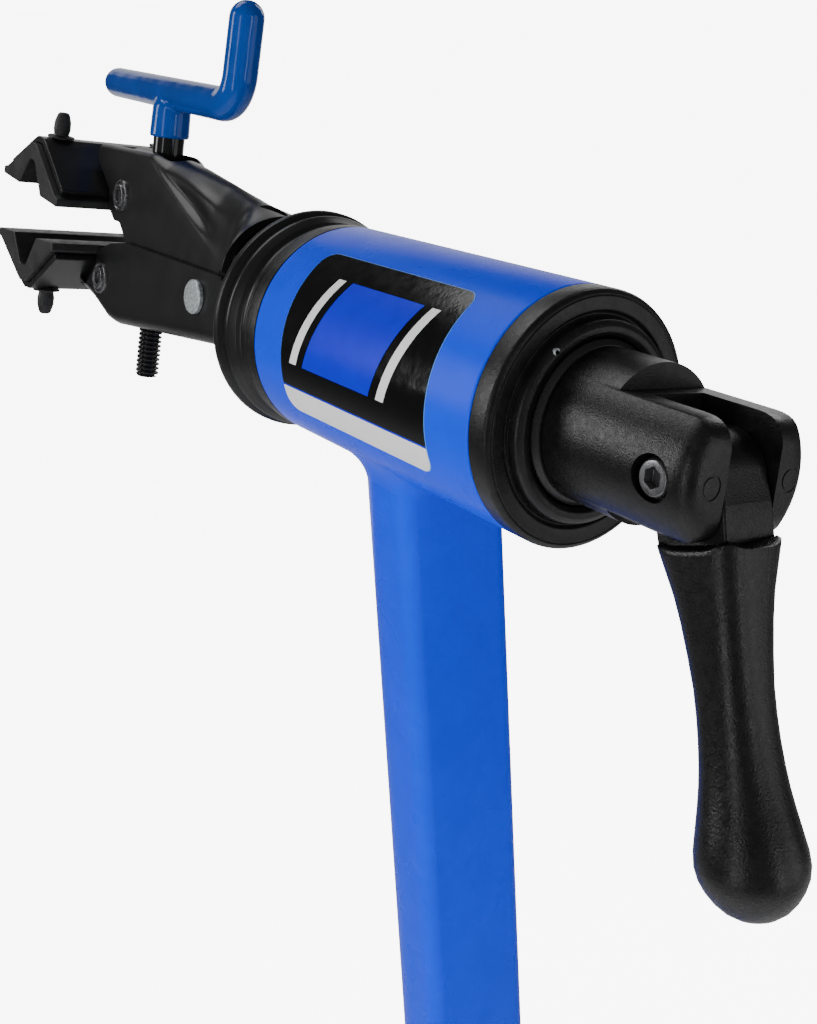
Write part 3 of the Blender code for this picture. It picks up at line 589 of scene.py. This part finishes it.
def upper_section(x, side=8, crown=30):
    """The upper arm's formed sheet across the arm, from one lower edge over the top to the other. A crease
    runs down its side. Above it the sheet is pressed in, and it swells again towards the root."""
    top = between(x, (-262, 50.5), (-209, 50.2), (-196, 48.8), (-180, 46.9), (-154, 43), (-128, 38.4),
                  (-108, 35.4))
    crease = between(x, (-206, top - 6), (-200, 41), (-137, 12), (-108, 12))
    half = UPPER_HALF + 14.2 * ease((x + 130.5) / 24.5)
    fullness = between(x, (-210, 0.5), (-198, 1.15), (-150, 1.25), (-134, 1.0), (-108, 1.0))
    bottom = -20 if x < -141 else between(x, (-141, -20), (-137, 9.2), (-108, 11))
    dent = 2.6 * math.exp(-(((x + 168) / 22) ** 2))
    ridge = 1.3 * math.exp(-(((x + 165) / 18) ** 2))
    dish = 2.2 * ease((-222 - x) / 9)
    points = [(half, bottom + (crease - bottom) * k / side) for k in range(side)]
    for k in range(crown + 1):
        share = k / crown
        a = math.pi / 2 * share
        y = half * max(0, math.cos(a)) ** fullness
        z = crease + (top - crease) * math.sin(a) ** fullness
        press = dent * math.exp(-(((share - 0.22) / 0.11) ** 2))
        press -= ridge * math.exp(-(((share - 0.46) / 0.1) ** 2))
        press *= ease(share / 0.08)
        sunk = dish * ease((UPPER_HALF - 2.5 - y) / 6)
        points.append((y - press * math.cos(a), z - press * math.sin(a) - sunk))
    far = [(y, z) for y, z in points[-2::-1]]
    return [(x, -y, z) for y, z in points] + [(x, y, z) for y, z in far]


def lower_section(x, side=10, corner=6, steps=6):
    """The lower arm's channel across the arm, open above."""
    bottom = between(x, (-275, -19), (-254, -23.8), (-236, -30.2), (-228, -31), (-128, -20.4), (-116, -17))
    points = [(LOWER_HALF, 16 - (16 - bottom - corner) * k / side) for k in range(side)]
    points += arc((LOWER_HALF - corner, bottom + corner), corner, 0, -90, steps)
    flat = [(LOWER_HALF - corner) * (1 - k / 4) for k in range(1, 4)]
    points += [(y, bottom) for y in flat]
    near = [(x, -y, z) for y, z in points]
    return near + [(x, 0, bottom)] + [(x, y, z) for y, z in points[::-1]]


def jaw_point(jaw, along, out):
    place, lean, side = jaw
    x = place.x + along * math.cos(lean) + out * side * math.sin(lean)
    z = place.z - along * math.sin(lean) + out * side * math.cos(lean)
    return x, z


def jaw_outline(jaw, *points):
    """Points along the jaw, to +X, and out of its back. A third number is a corner radius and is kept."""
    return [jaw_point(jaw, *point[:2]) + tuple(point[2:]) for point in points]


def sheet(name, section, x_low, x_high, step):
    """Bent sheet metal: an open loft given its thickness inwards."""
    count = round((x_high - x_low) / step)
    stations = [x_low + (x_high - x_low) * k / count for k in range(count + 1)]
    obj = made(name, loft([section(x) for x in stations], closed=False), CLAMP)
    solid = obj.modifiers.new("sheet", "SOLIDIFY")
    solid.thickness = SHEET * MM
    solid.offset = -1
    bake(obj)
    return obj


def make_upper_arm():
    arm = sheet("upper_arm_shell", upper_section, -267, -108, 2)
    outline = [(-100, 60), (-266.5, 60)]
    outline += jaw_outline(UPPER_JAW, (11, 26, 2), (36.6, 9.8, 2), (38, 2, 2))
    outline += [(-243, 15.5, 3), (-237, 15.5, 3), (-223, 3, 6), (-172, 3, 4), (-161, -6, 3)]
    outline += arc((RIVET.x, RIVET.z), 12.5, 205, 335, 12)
    outline += [(-132.2, 12.6, 2), (-100, 12.6)]
    carve(arm, "INTERSECT", plate(rounded(outline, 0, 5), -60, 60))
    carve(arm, "DIFFERENCE", plate(slot(-231, -196, 8.5), 30, 60, "Z"))
    hole = rounded([(-126, -4.5, 2), (-106.5, -0.8, 1), (-106.5, 0.8, 1), (-122, 3, 1.5)], 0)
    carve(arm, "DIFFERENCE", plate(hole, 25, 60, "Z"))
    dress(arm, "black_paint", "black_paint", "clamp", "upper_arm", edge=0.5, sharp=45)
    neck = rounded([(-112, 0), (-112, 12, 1), (-104, 24, 6), (-92, 29.5, 4), (-80.5, 30.5), (-80.5, 0)], 0)
    dress(made("arm_root", lathe(neck, 96), CLAMP), "black_paint", "black_paint", "clamp", sharp=50)


def make_lower_arm():
    arm = sheet("lower_arm_shell", lower_section, -275, -116, 3)
    outline = [(-128, -40), (-290, -40), (-290, -6)]
    outline += jaw_outline(LOWER_JAW, (25, 20.5, 3), (37, 11, 4), (38, 2, 2))
    outline += [(-236, 5.5, 8), (-221, 7.9, 4), (-130, 7.9, 4), (-121, 4.5, 2), (-116, -3, 2), (-119, -12, 3),
                (-128, -20.4)]
    carve(arm, "INTERSECT", plate(rounded(outline, 0, 5), -60, 60))
    carve(arm, "DIFFERENCE", plate(slot(-233, -200, 7.5), -50, -15, "Z"))
    dress(arm, "black_paint", "black_paint", "lower_jaw_body", "lower_arm", edge=0.5, sharp=45)


def peg_profile():
    """A cover's peg: its stem, the thin collar that holds it in the plate, and its rounded tip."""
    return rounded([(20, 0), (20, 3.6), (26.3, 3.6, 0.3), (26.3, 6.4, 0.2), (27.1, 6.4, 0.3), (27.6, 3.5, 0.4),
                    (30.5, 4.1, 2), (34.2, 3.9, 2), (37.6, 2.9, 0.8), (38.5, 2.2, 0.4), (38.5, 0)], 0)


def turned_on_jaw(jaw, along, place, profile, segments=32):
    """A turned shape that stands out of a jaw's back."""
    _, lean, side = jaw
    bm = lathe(profile, segments, "Z")
    turn = Matrix.Rotation(math.pi, 4, "X") if side < 0 else Matrix.Identity(4)
    x, z = jaw_point(jaw, along, 0)
    move = Matrix.Translation((x, place, z)) @ Matrix.Rotation(lean, 4, "Y") @ turn
    bmesh.ops.transform(bm, matrix=move, verts=bm.verts)
    return bm


def make_jaw(name, jaw, bolt, arm_half, body):
    """The bent plate behind a cover, with two lugs that its bolt holds inside the arm."""
    back = jaw_outline(jaw, (-35.5, 7.6, 1), (-7.7, 23.9, 3), (-3.8, 25.8, 3), (3.8, 25.8, 3), (7.7, 23.9, 3),
                       (35.5, 7.6, 1), (34, 5, 1), (6.2, 21.2, 3), (3.1, 22.8, 2), (-3.1, 22.8, 2),
                       (-6.2, 21.2, 3), (-34, 5, 1))
    obj = made(f"{name}_plate", plate(rounded(back, 0, 4), -PLATE_HALF, PLATE_HALF), CLAMP)
    lug = jaw_outline(jaw, (10, 20.7), (17, 22, 2), (33, 16, 3), (36.5, 11.5, 2))
    lug += arc((bolt.x, bolt.z), 9.5, 60 * jaw[2], -120 * jaw[2], 14)
    lug += jaw_outline(jaw, (34.5, 6.3))
    inside = arm_half - SHEET - 0.3
    for side in (-1, 1):
        low, high = sorted((side * (inside - SHEET), side * inside))
        carve(obj, "UNION", plate(rounded(lug, 0), low, high))
    dress(obj, "black_paint", "black_paint", body, name, edge=0.5)


def make_cover(name, jaw, body):
    """A rubber cover with its V-shaped groove, and its two pegs."""
    outline = jaw_outline(
        jaw, (-37, 0, 0.8), (-37.6, 3.6, 1.2), (-33, 4.8, 1), (-6, 20.6, 5), (-2.5, 22.4, 3), (2.5, 22.4, 3),
        (6, 20.6, 5), (33, 4.8, 1), (37.6, 3.6, 1.2), (37, 0, 0.8), (15.5, 0, 1.2), (3.4, 14.4, 3.5),
        (-3.4, 14.4, 3.5), (-14.5, 0, 1.2),
    )
    cover = made(name + "_pad", plate(rounded(outline, 0, 6), -JAW_HALF, JAW_HALF), CLAMP)
    dress(cover, "black_rubber", "black_rubber", body, name, edge=0.9)
    for k, place in enumerate(PEG_PLACES):
        peg = made(f"{name}_peg_{k}", turned_on_jaw(jaw, 0, place, peg_profile()), CLAMP)
        dress(peg, "black_rubber", "black_rubber", body, sharp=50)


def make_bolt(name, place, arm_half, body):
    """A socket head in a ring, and its nut on the far side."""
    face = arm_half + 0.1
    profile = [(-face, 7.6), (-face - 0.8, 7.4, 0.4), (-face - 1.3, 6.6, 0.4), (-face - 0.5, 5.9, 0.2),
               (-face - 0.5, 5.5, 0.2), (-face - 2.1, 5.2, 0.5), (-face - 1.9, 3.9, 0.3), (-face - 1.5, 0),
               (-face + 2, 0), (-face + 2, 7.6)]
    bolt = made(f"{name}_bolt_head", lathe(rounded(profile, 0)[::-1], 64, "Y", place), CLAMP)
    socket = [(-face - 9, 0), (-face - 9, 3.3), (-face - 0.4, 3.3), (-face - 0.4, 0)]
    carve(bolt, "DIFFERENCE", lathe(socket, 6, "Y", place))
    carve(bolt, "UNION", rod(3.9, -face + 1, face + 6.7, "Y", place))
    dress(bolt, "black_oxide", "black_paint", body, f"{name}_bolt", edge=0.15)
    hexagon = [(face, 3.95), (face, 7.4), (face + 5.6, 7.4), (face + 5.6, 3.95)]
    nut = made(f"{name}_nut_hex", lathe(hexagon, 6, "Y", place), CLAMP)
    dress(nut, "black_oxide", "black_paint", body, f"{name}_nut", edge=0.4)


def make_rivet():
    out = LOWER_HALF + 0.2
    profile = rounded([(-out - 2, 0), (-out - 2, 6.5, 0.7), (-out - 1.4, 7.1, 0.4), (-out, 7.1), (-out, 4.7),
                       (out, 4.7), (out, 6.3), (out + 1.4, 6.3, 0.4), (out + 2, 5.6, 0.7), (out + 2, 0)], 0)
    rivet = made("pivot_rivet", lathe(profile, 64, "Y", RIVET), CLAMP)
    dress(rivet, "zinc", "zinc", "clamp", "arm_rivet")


def make_screw():
    """The screw with its thread, and the smooth shank that the handle is moulded on."""
    low, high, rows_per_turn, around = -53.5, 30.0, 8, 48
    rows = round((high - low) / THREAD_PITCH * rows_per_turn)
    sections = []
    for row in range(rows + 1):
        z = low + (high - low) * row / rows
        taper = 0.8 * (1 - ease((z - low) / 1.4))
        ring = []
        for k in range(around):
            phase = (z / THREAD_PITCH + k / around) % 1
            crest = 1 - abs(2 * phase - 1)
            depth = 1.15 * (1 - ease((crest - 0.25) / 0.4))
            radius = THREAD_R - depth - taper
            t = 2 * math.pi * k / around
            ring.append((SWIVEL.x + radius * math.cos(t), radius * math.sin(t), z))
        sections.append(ring)
    screw = made("crank_thread", loft(sections), CLAMP)
    dress(screw, "gloss_black", "black_paint", "crank", "crank_screw", sharp=70)
    neck = THREAD_R - 0.2
    shank = rounded([(30, 0), (30, neck), (41, neck), (41.4, STEM_R, 0.5), (66, STEM_R), (66, 0)], 0)
    stem = made("crank_shank", lathe(shank, 64, "Z", (SWIVEL.x, 0, 0)), CLAMP)
    dress(stem, "gloss_black", "black_paint", "crank")


def swept(path, radius, segments=32):
    """A round bar along a path in the XZ plane, with domed ends."""
    steps = 8
    ends = [math.radians(90 * k / steps) for k in range(1, steps)]
    first = (path[1] - path[0]).normalized()
    last = (path[-1] - path[-2]).normalized()
    rows = [(path[0] - first * radius * math.cos(t), first, radius * math.sin(t)) for t in ends]
    for k, point in enumerate(path):
        before, after = path[max(k - 1, 0)], path[min(k + 1, len(path) - 1)]
        rows.append((point, (after - before).normalized(), radius))
    rows += [(path[-1] + last * radius * math.cos(t), last, radius * math.sin(t)) for t in ends[::-1]]
    side = Vector((0, 1, 0))
    sections = []
    for point, along, size in rows:
        up = along.cross(side)
        angles = [2 * math.pi * k / segments for k in range(segments)]
        sections.append([point + (side * math.cos(t) + up * math.sin(t)) * size for t in angles])
    return loft(sections)


def make_crank():
    """The dipped handle: a cross bar with one end bent up, blended into its stem."""
    radius, reach, bend, top = 7.25, 67.8, 13, 112.8
    height, slope, turn = 77, math.radians(2), math.radians(-3.3)
    corner = arc((reach - bend, bend), bend, -90, 0, 14)
    path = [Vector((-reach - 2.5, 0, 0)), Vector((-reach / 2, 0, 0)), Vector((0, 0, 0))]
    path += [Vector((x, 0, z)) for x, z in corner]
    path += [Vector((reach, 0, z)) for z in (20, top - height)]
    bar = swept(path, radius)
    aim = Matrix.Rotation(turn, 4, "Z") @ Matrix.Rotation(slope, 4, "Y")
    move = Matrix.Translation((SWIVEL.x, 0, height)) @ aim
    bmesh.ops.transform(bar, matrix=move, verts=bar.verts)
    handle = made("crank_grip", bar, CLAMP)
    stem = rounded([(57, 0), (57, 8.5), (57.6, 8.9), (71, 8.6, 3), (80, 5, 3), (80, 0)], 0)
    carve(handle, "UNION", lathe(stem, 48, "Z", (SWIVEL.x, 0, 0)))
    remesh = handle.modifiers.new("blend", "REMESH")
    remesh.mode = "VOXEL"
    remesh.voxel_size = 0.55 * MM
    smooth = handle.modifiers.new("smooth", "SMOOTH")
    smooth.factor = 0.5
    smooth.iterations = 10
    bake(handle)
    dress(handle, "blue_vinyl", "blue_vinyl", "crank", "crank_handle", sharp=80)


# ---- lock ----------------------------------------------------------------------------------------


def make_yoke():
    """The moulded fork that holds the cam lever's pin, flattened above and below its two ears."""
    start, end, radius = 70.9, 124.2, 22.5
    profile = rounded([(start, 14.3), (start, radius - 0.6, 0.4), (start + 1.2, radius, 0.5),
                       (end, radius, 6.5), (end, 8.3), (89, 8.3), (89, 14.3)], 0, 8)
    yoke = made("yoke_body", lathe(profile, 96), CLAMP)
    far = 130
    ears = rounded([(91.5, 15.2, 0.6), (124.3, 15.2, 9), (124.3, -17, 9), (91.5, -17, 0.6)], 0, 8)
    ears = [(91.5, 15.2)] + ears[5:-5] + [(91.5, -17), (91.5, -far), (far, -far), (far, far), (91.5, far)]
    carve(yoke, "DIFFERENCE", plate(ears, -far, far))
    carve(yoke, "DIFFERENCE", box((97, -9.8, -far), (far + 1, 9.8, far + 1)))
    hole = [(-30, 0), (-30, 6.2), (-17.2, 6.2), (-17.2, 3.3), (17.2, 3.3), (17.2, 6.2), (30, 6.2), (30, 0)]
    carve(yoke, "DIFFERENCE", lathe(hole, 48, "Y", LEVER_PIN))
    for side in (-1, 1):
        ring = [(end - 0.25, 2.7), (end - 0.25, 3.3), (end + 1, 3.3), (end + 1, 2.7)]
        carve(yoke, "DIFFERENCE", lathe(ring, 32, "X", (0, side * 15, -1)))
    dress(yoke, "black_plastic", "black_plastic", "clamp", "cam_yoke", edge=1.5, sharp=50)
    head = rounded([(-21.4, 0), (-21.4, 4.4, 0.6), (-20.6, 5, 0.4), (-17.3, 5), (-17.3, 3), (20.5, 3),
                    (20.5, 0)], 0)
    screw = made("lever_pin_screw", lathe(head, 48, "Y", LEVER_PIN), CLAMP)
    carve(screw, "DIFFERENCE", lathe([(-24, 0), (-24, 2.9), (-18.4, 2.9), (-18.4, 0)], 6, "Y", LEVER_PIN))
    dress(screw, "black_oxide", "zinc", "clamp", "lever_screw", edge=0.15)


def lever_space():
    return CLAMP @ Matrix.Translation(LEVER_PIN * MM) @ Matrix.Rotation(-LEVER_LEAN, 4, "Y")


def grip_section(along, half_x, half_y, power, count=56):
    """The grip's section. Its top edge dips between the four corners."""
    wave = 0.8 * (1 - ease((along - 17) / 6))
    points = []
    for k in range(count):
        t = 2 * math.pi * k / count
        c, s = math.cos(t), math.sin(t)
        points.append(
            (
                GRIP_SHIFT + half_x * math.copysign(abs(c) ** (2 / power), c),
                half_y * math.copysign(abs(s) ** (2 / power), s),
                -along - wave * (1 + math.cos(4 * t)),
            )
        )
    return points


def make_lever():
    space = lever_space()
    outline = arc((-1.2, 0), 12, -8, 188, 30)
    outline += [(-12.4, -8, 3), (-11.8, -18), (-8, -22), (8, -22), (11, -18), (11.4, -8, 3)]
    blade = made("lever_blade", plate(rounded(outline, 0), -BLADE_HALF, BLADE_HALF), space)
    dress(blade, "black_plastic", "black_paint", "lever", "cam_lever", edge=1.0)
    raised = arc((-1.2, 0), 12.35, 20, 178, 26) + [(-12.9, -8, 3), (-12.2, -18), (0, -18), (0, 0)]
    for k, (low, high) in enumerate(((-8.3, -7.7), (-6.9, -6.3))):
        ridge = made(f"lever_ridge_{k}", plate(rounded(raised, 0), low, high), space)
        dress(ridge, "black_plastic", "black_paint", "lever", edge=0.15)
    stations = [(16.6, 12.6, 11.6, 4), (17.3, 13.5, 12.4, 4), (19, 13.3, 12.3, 3.8), (24, 12.4, 11.6, 3.5),
                (30, 11.3, 10.7, 3.2), (37, 10.4, 10.0, 3), (45, 9.7, 9.5, 2.8), (53, 9.2, 9.2, 2.6),
                (60, 9.2, 9.3, 2.5), (66, 9.5, 9.6, 2.4), (72, 10.1, 10.1, 2.3), (77, 10.8, 10.8, 2.2),
                (82, 11.8, 11.8, 2.1), (87, 13.0, 13.0, 2), (92, 14.0, 14.0, 2), (95.5, 14.2, 14.2, 2),
                (98.5, 13.6, 13.6, 2), (101.2, 12.3, 12.3, 2), (103.7, 10.5, 10.5, 2), (105.9, 8.2, 8.2, 2),
                (107.5, 5.4, 5.4, 2), (108.4, 2.8, 2.8, 2)]
    grip = made("lever_handle", loft([grip_section(*s) for s in stations]), space)
    dress(grip, "grip", "black_plastic", "lever", "lever_grip", sharp=60)


# ---- the rest ------------------------------------------------------------------------------------

EDGES = {
    "lower_post": 0.8, "height_collar": 1.5, "collar_lever": 1.5, "base_hub": 1.5, "base_plug": 1.0,
    "post_glide": 0.8, "collar_nut": 0.4, "lever_nut": 0.3,
}
SLOT_LOOKS = {"label": "label_black"}


def dress_cad_nodes():
    """The CAD nodes whose shape stays get the finished materials and rounded edges."""
    slots = {part["node"]: part["material_slot"] for part in frame["record"]["subparts"]}
    for name, node in frame["nodes"].items():
        if node.hide_render:
            continue
        look = SLOT_LOOKS.get(slots[name], slots[name])
        node.data.materials.clear()
        node.data.materials.append(LOOKS[look].material)
        if name in EDGES:
            bevel = node.modifiers.new("edges", "BEVEL")
            bevel.width = EDGES[name] * MM
            bevel.segments = 2
            bevel.limit_method = "ANGLE"
            bevel.angle_limit = math.radians(40)


def make_stage():
    """A pale floor that runs into an equally pale background. What the camera sees of both is brighter than
    the light that they give, so that black parts stay black."""
    bm = bmesh.new()
    bmesh.ops.create_circle(bm, cap_ends=True, segments=64, radius=FLOOR_RADIUS)
    mesh = bpy.data.meshes.new("floor")
    bm.to_mesh(mesh)
    bm.free()
    floor = bpy.data.objects.new("floor", mesh)
    bpy.context.collection.objects.link(floor)
    mesh.materials.append(LOOKS["floor"].material)
    tree = LOOKS["floor"].tree
    glow = tree.nodes.new("ShaderNodeLightPath").outputs["Is Camera Ray"]
    strength = tree.nodes.new("ShaderNodeMath")
    strength.operation = "MULTIPLY"
    strength.inputs[1].default_value = BACKGROUND_GLOW
    tree.links.new(glow, strength.inputs[0])
    LOOKS["floor"].shader.inputs["Emission Color"].default_value = (1, 1, 1, 1)
    tree.links.new(strength.outputs["Value"], LOOKS["floor"].shader.inputs["Emission Strength"])
    world = bpy.data.worlds.new("studio")
    bpy.context.scene.world = world
    world.use_nodes = True
    nodes, links = world.node_tree.nodes, world.node_tree.links
    background = nodes["Background"]
    background.inputs["Color"].default_value = (1, 1, 1, 1)
    amount = nodes.new("ShaderNodeMapRange")
    amount.inputs["To Min"].default_value = AMBIENT
    amount.inputs["To Max"].default_value = BACKGROUND_GLOW + 0.35
    links.new(nodes.new("ShaderNodeLightPath").outputs["Is Camera Ray"], amount.inputs["Value"])
    links.new(amount.outputs["Result"], background.inputs["Strength"])


def softbox(name, toward, distance, width, height, radiance, mirrored=True, lighting=True):
    """A soft area light that faces the head from a direction. One that isn't mirrored gives no highlights,
    and one that isn't lighting gives nothing else."""
    light = bpy.data.lights.new(name, "AREA")
    light.shape = "RECTANGLE"
    light.size, light.size_y = width, height
    light.energy = radiance * math.pi * width * height
    obj = bpy.data.objects.new(name, light)
    bpy.context.collection.objects.link(obj)
    way = Vector(toward).normalized()
    obj.location = HEAD.translation + way * distance
    obj.rotation_mode = "QUATERNION"
    obj.rotation_quaternion = way.to_track_quat("Z", "Y")
    obj.visible_camera = False
    obj.visible_glossy = mirrored
    obj.visible_diffuse = lighting
    return obj


def make_lights():
    softbox("backdrop", (-0.85, 0.5, -0.05), 2.2, 3.0, 2.2, 0.9, lighting=False)
    softbox("top_box", (-0.7, -0.1, 1.0), 1.7, 1.2, 0.8, 2.7)
    softbox("front_fill", (0.1, -1, 0.1), 1.8, 1.6, 1.6, 4.0, mirrored=False)
    softbox("right_fill", (1, -0.3, 0.0), 1.8, 1.2, 1.6, 3.2, mirrored=False)
    softbox("rear_fill", (-0.5, 1, 0.3), 1.9, 1.4, 1.4, 3.0, mirrored=False)
    softbox("left_strip", (-0.63, -0.72, 0.27), 1.8, 0.4, 0.9, 7.0, lighting=False)
    softbox("right_back", (0.8, 0.55, -0.1), 1.8, 1.0, 1.2, 0.9, lighting=False)
    softbox("grip_left", (0.26, -0.96, 0.05), 1.8, 0.25, 1.4, 3.4, lighting=False)
    softbox("grip_right", (0.99, 0.09, -0.05), 1.8, 0.25, 1.4, 2.6, lighting=False)
    softbox("rear_strip", (-0.3, 1, 0.5), 1.8, 0.5, 1.2, 3.0)


def make_camera():
    """The camera stands close to the head, to the right of it and a little above."""
    azimuth, elevation, roll = (math.radians(a) for a in CAMERA_ANGLES)
    level = math.cos(elevation)
    back = Vector((math.sin(azimuth) * level, -math.cos(azimuth) * level, math.sin(elevation)))
    right = (-back).cross(Vector((0, 0, 1))).normalized()
    up = right.cross(-back)
    turned_right = right * math.cos(roll) + up * math.sin(roll)
    turned_up = up * math.cos(roll) - right * math.sin(roll)
    turn = Matrix((turned_right, turned_up, back)).transposed().to_4x4()
    data = bpy.data.cameras.new("camera")
    data.sensor_width = 36
    data.lens = CAMERA_LENS
    data.shift_y = CAMERA_SHIFT
    camera = bpy.data.objects.new("camera", data)
    bpy.context.collection.objects.link(camera)
    camera.matrix_world = Matrix.Translation(HEAD.translation + Vector(CAMERA_PLACE) * MM) @ turn
    data.clip_start = 0.02
    bpy.context.scene.camera = camera


LOOKS = make_looks()
make_barrel()
make_label()
make_caps()
make_flange()
make_upper_arm()
make_lower_arm()
make_jaw("upper_jaw", UPPER_JAW, UPPER_BOLT, UPPER_HALF, "clamp")
make_jaw("lower_jaw", LOWER_JAW, LOWER_BOLT, LOWER_HALF, "lower_jaw_body")
make_cover("upper_cover", UPPER_JAW, "clamp")
make_cover("lower_cover", LOWER_JAW, "lower_jaw_body")
make_bolt("upper_jaw", UPPER_BOLT, UPPER_HALF, "clamp")
make_bolt("lower_jaw", LOWER_BOLT, LOWER_HALF, "lower_jaw_body")
make_rivet()
make_screw()
make_crank()
make_yoke()
make_lever()
dress_cad_nodes()
make_stage()
make_lights()
make_camera()
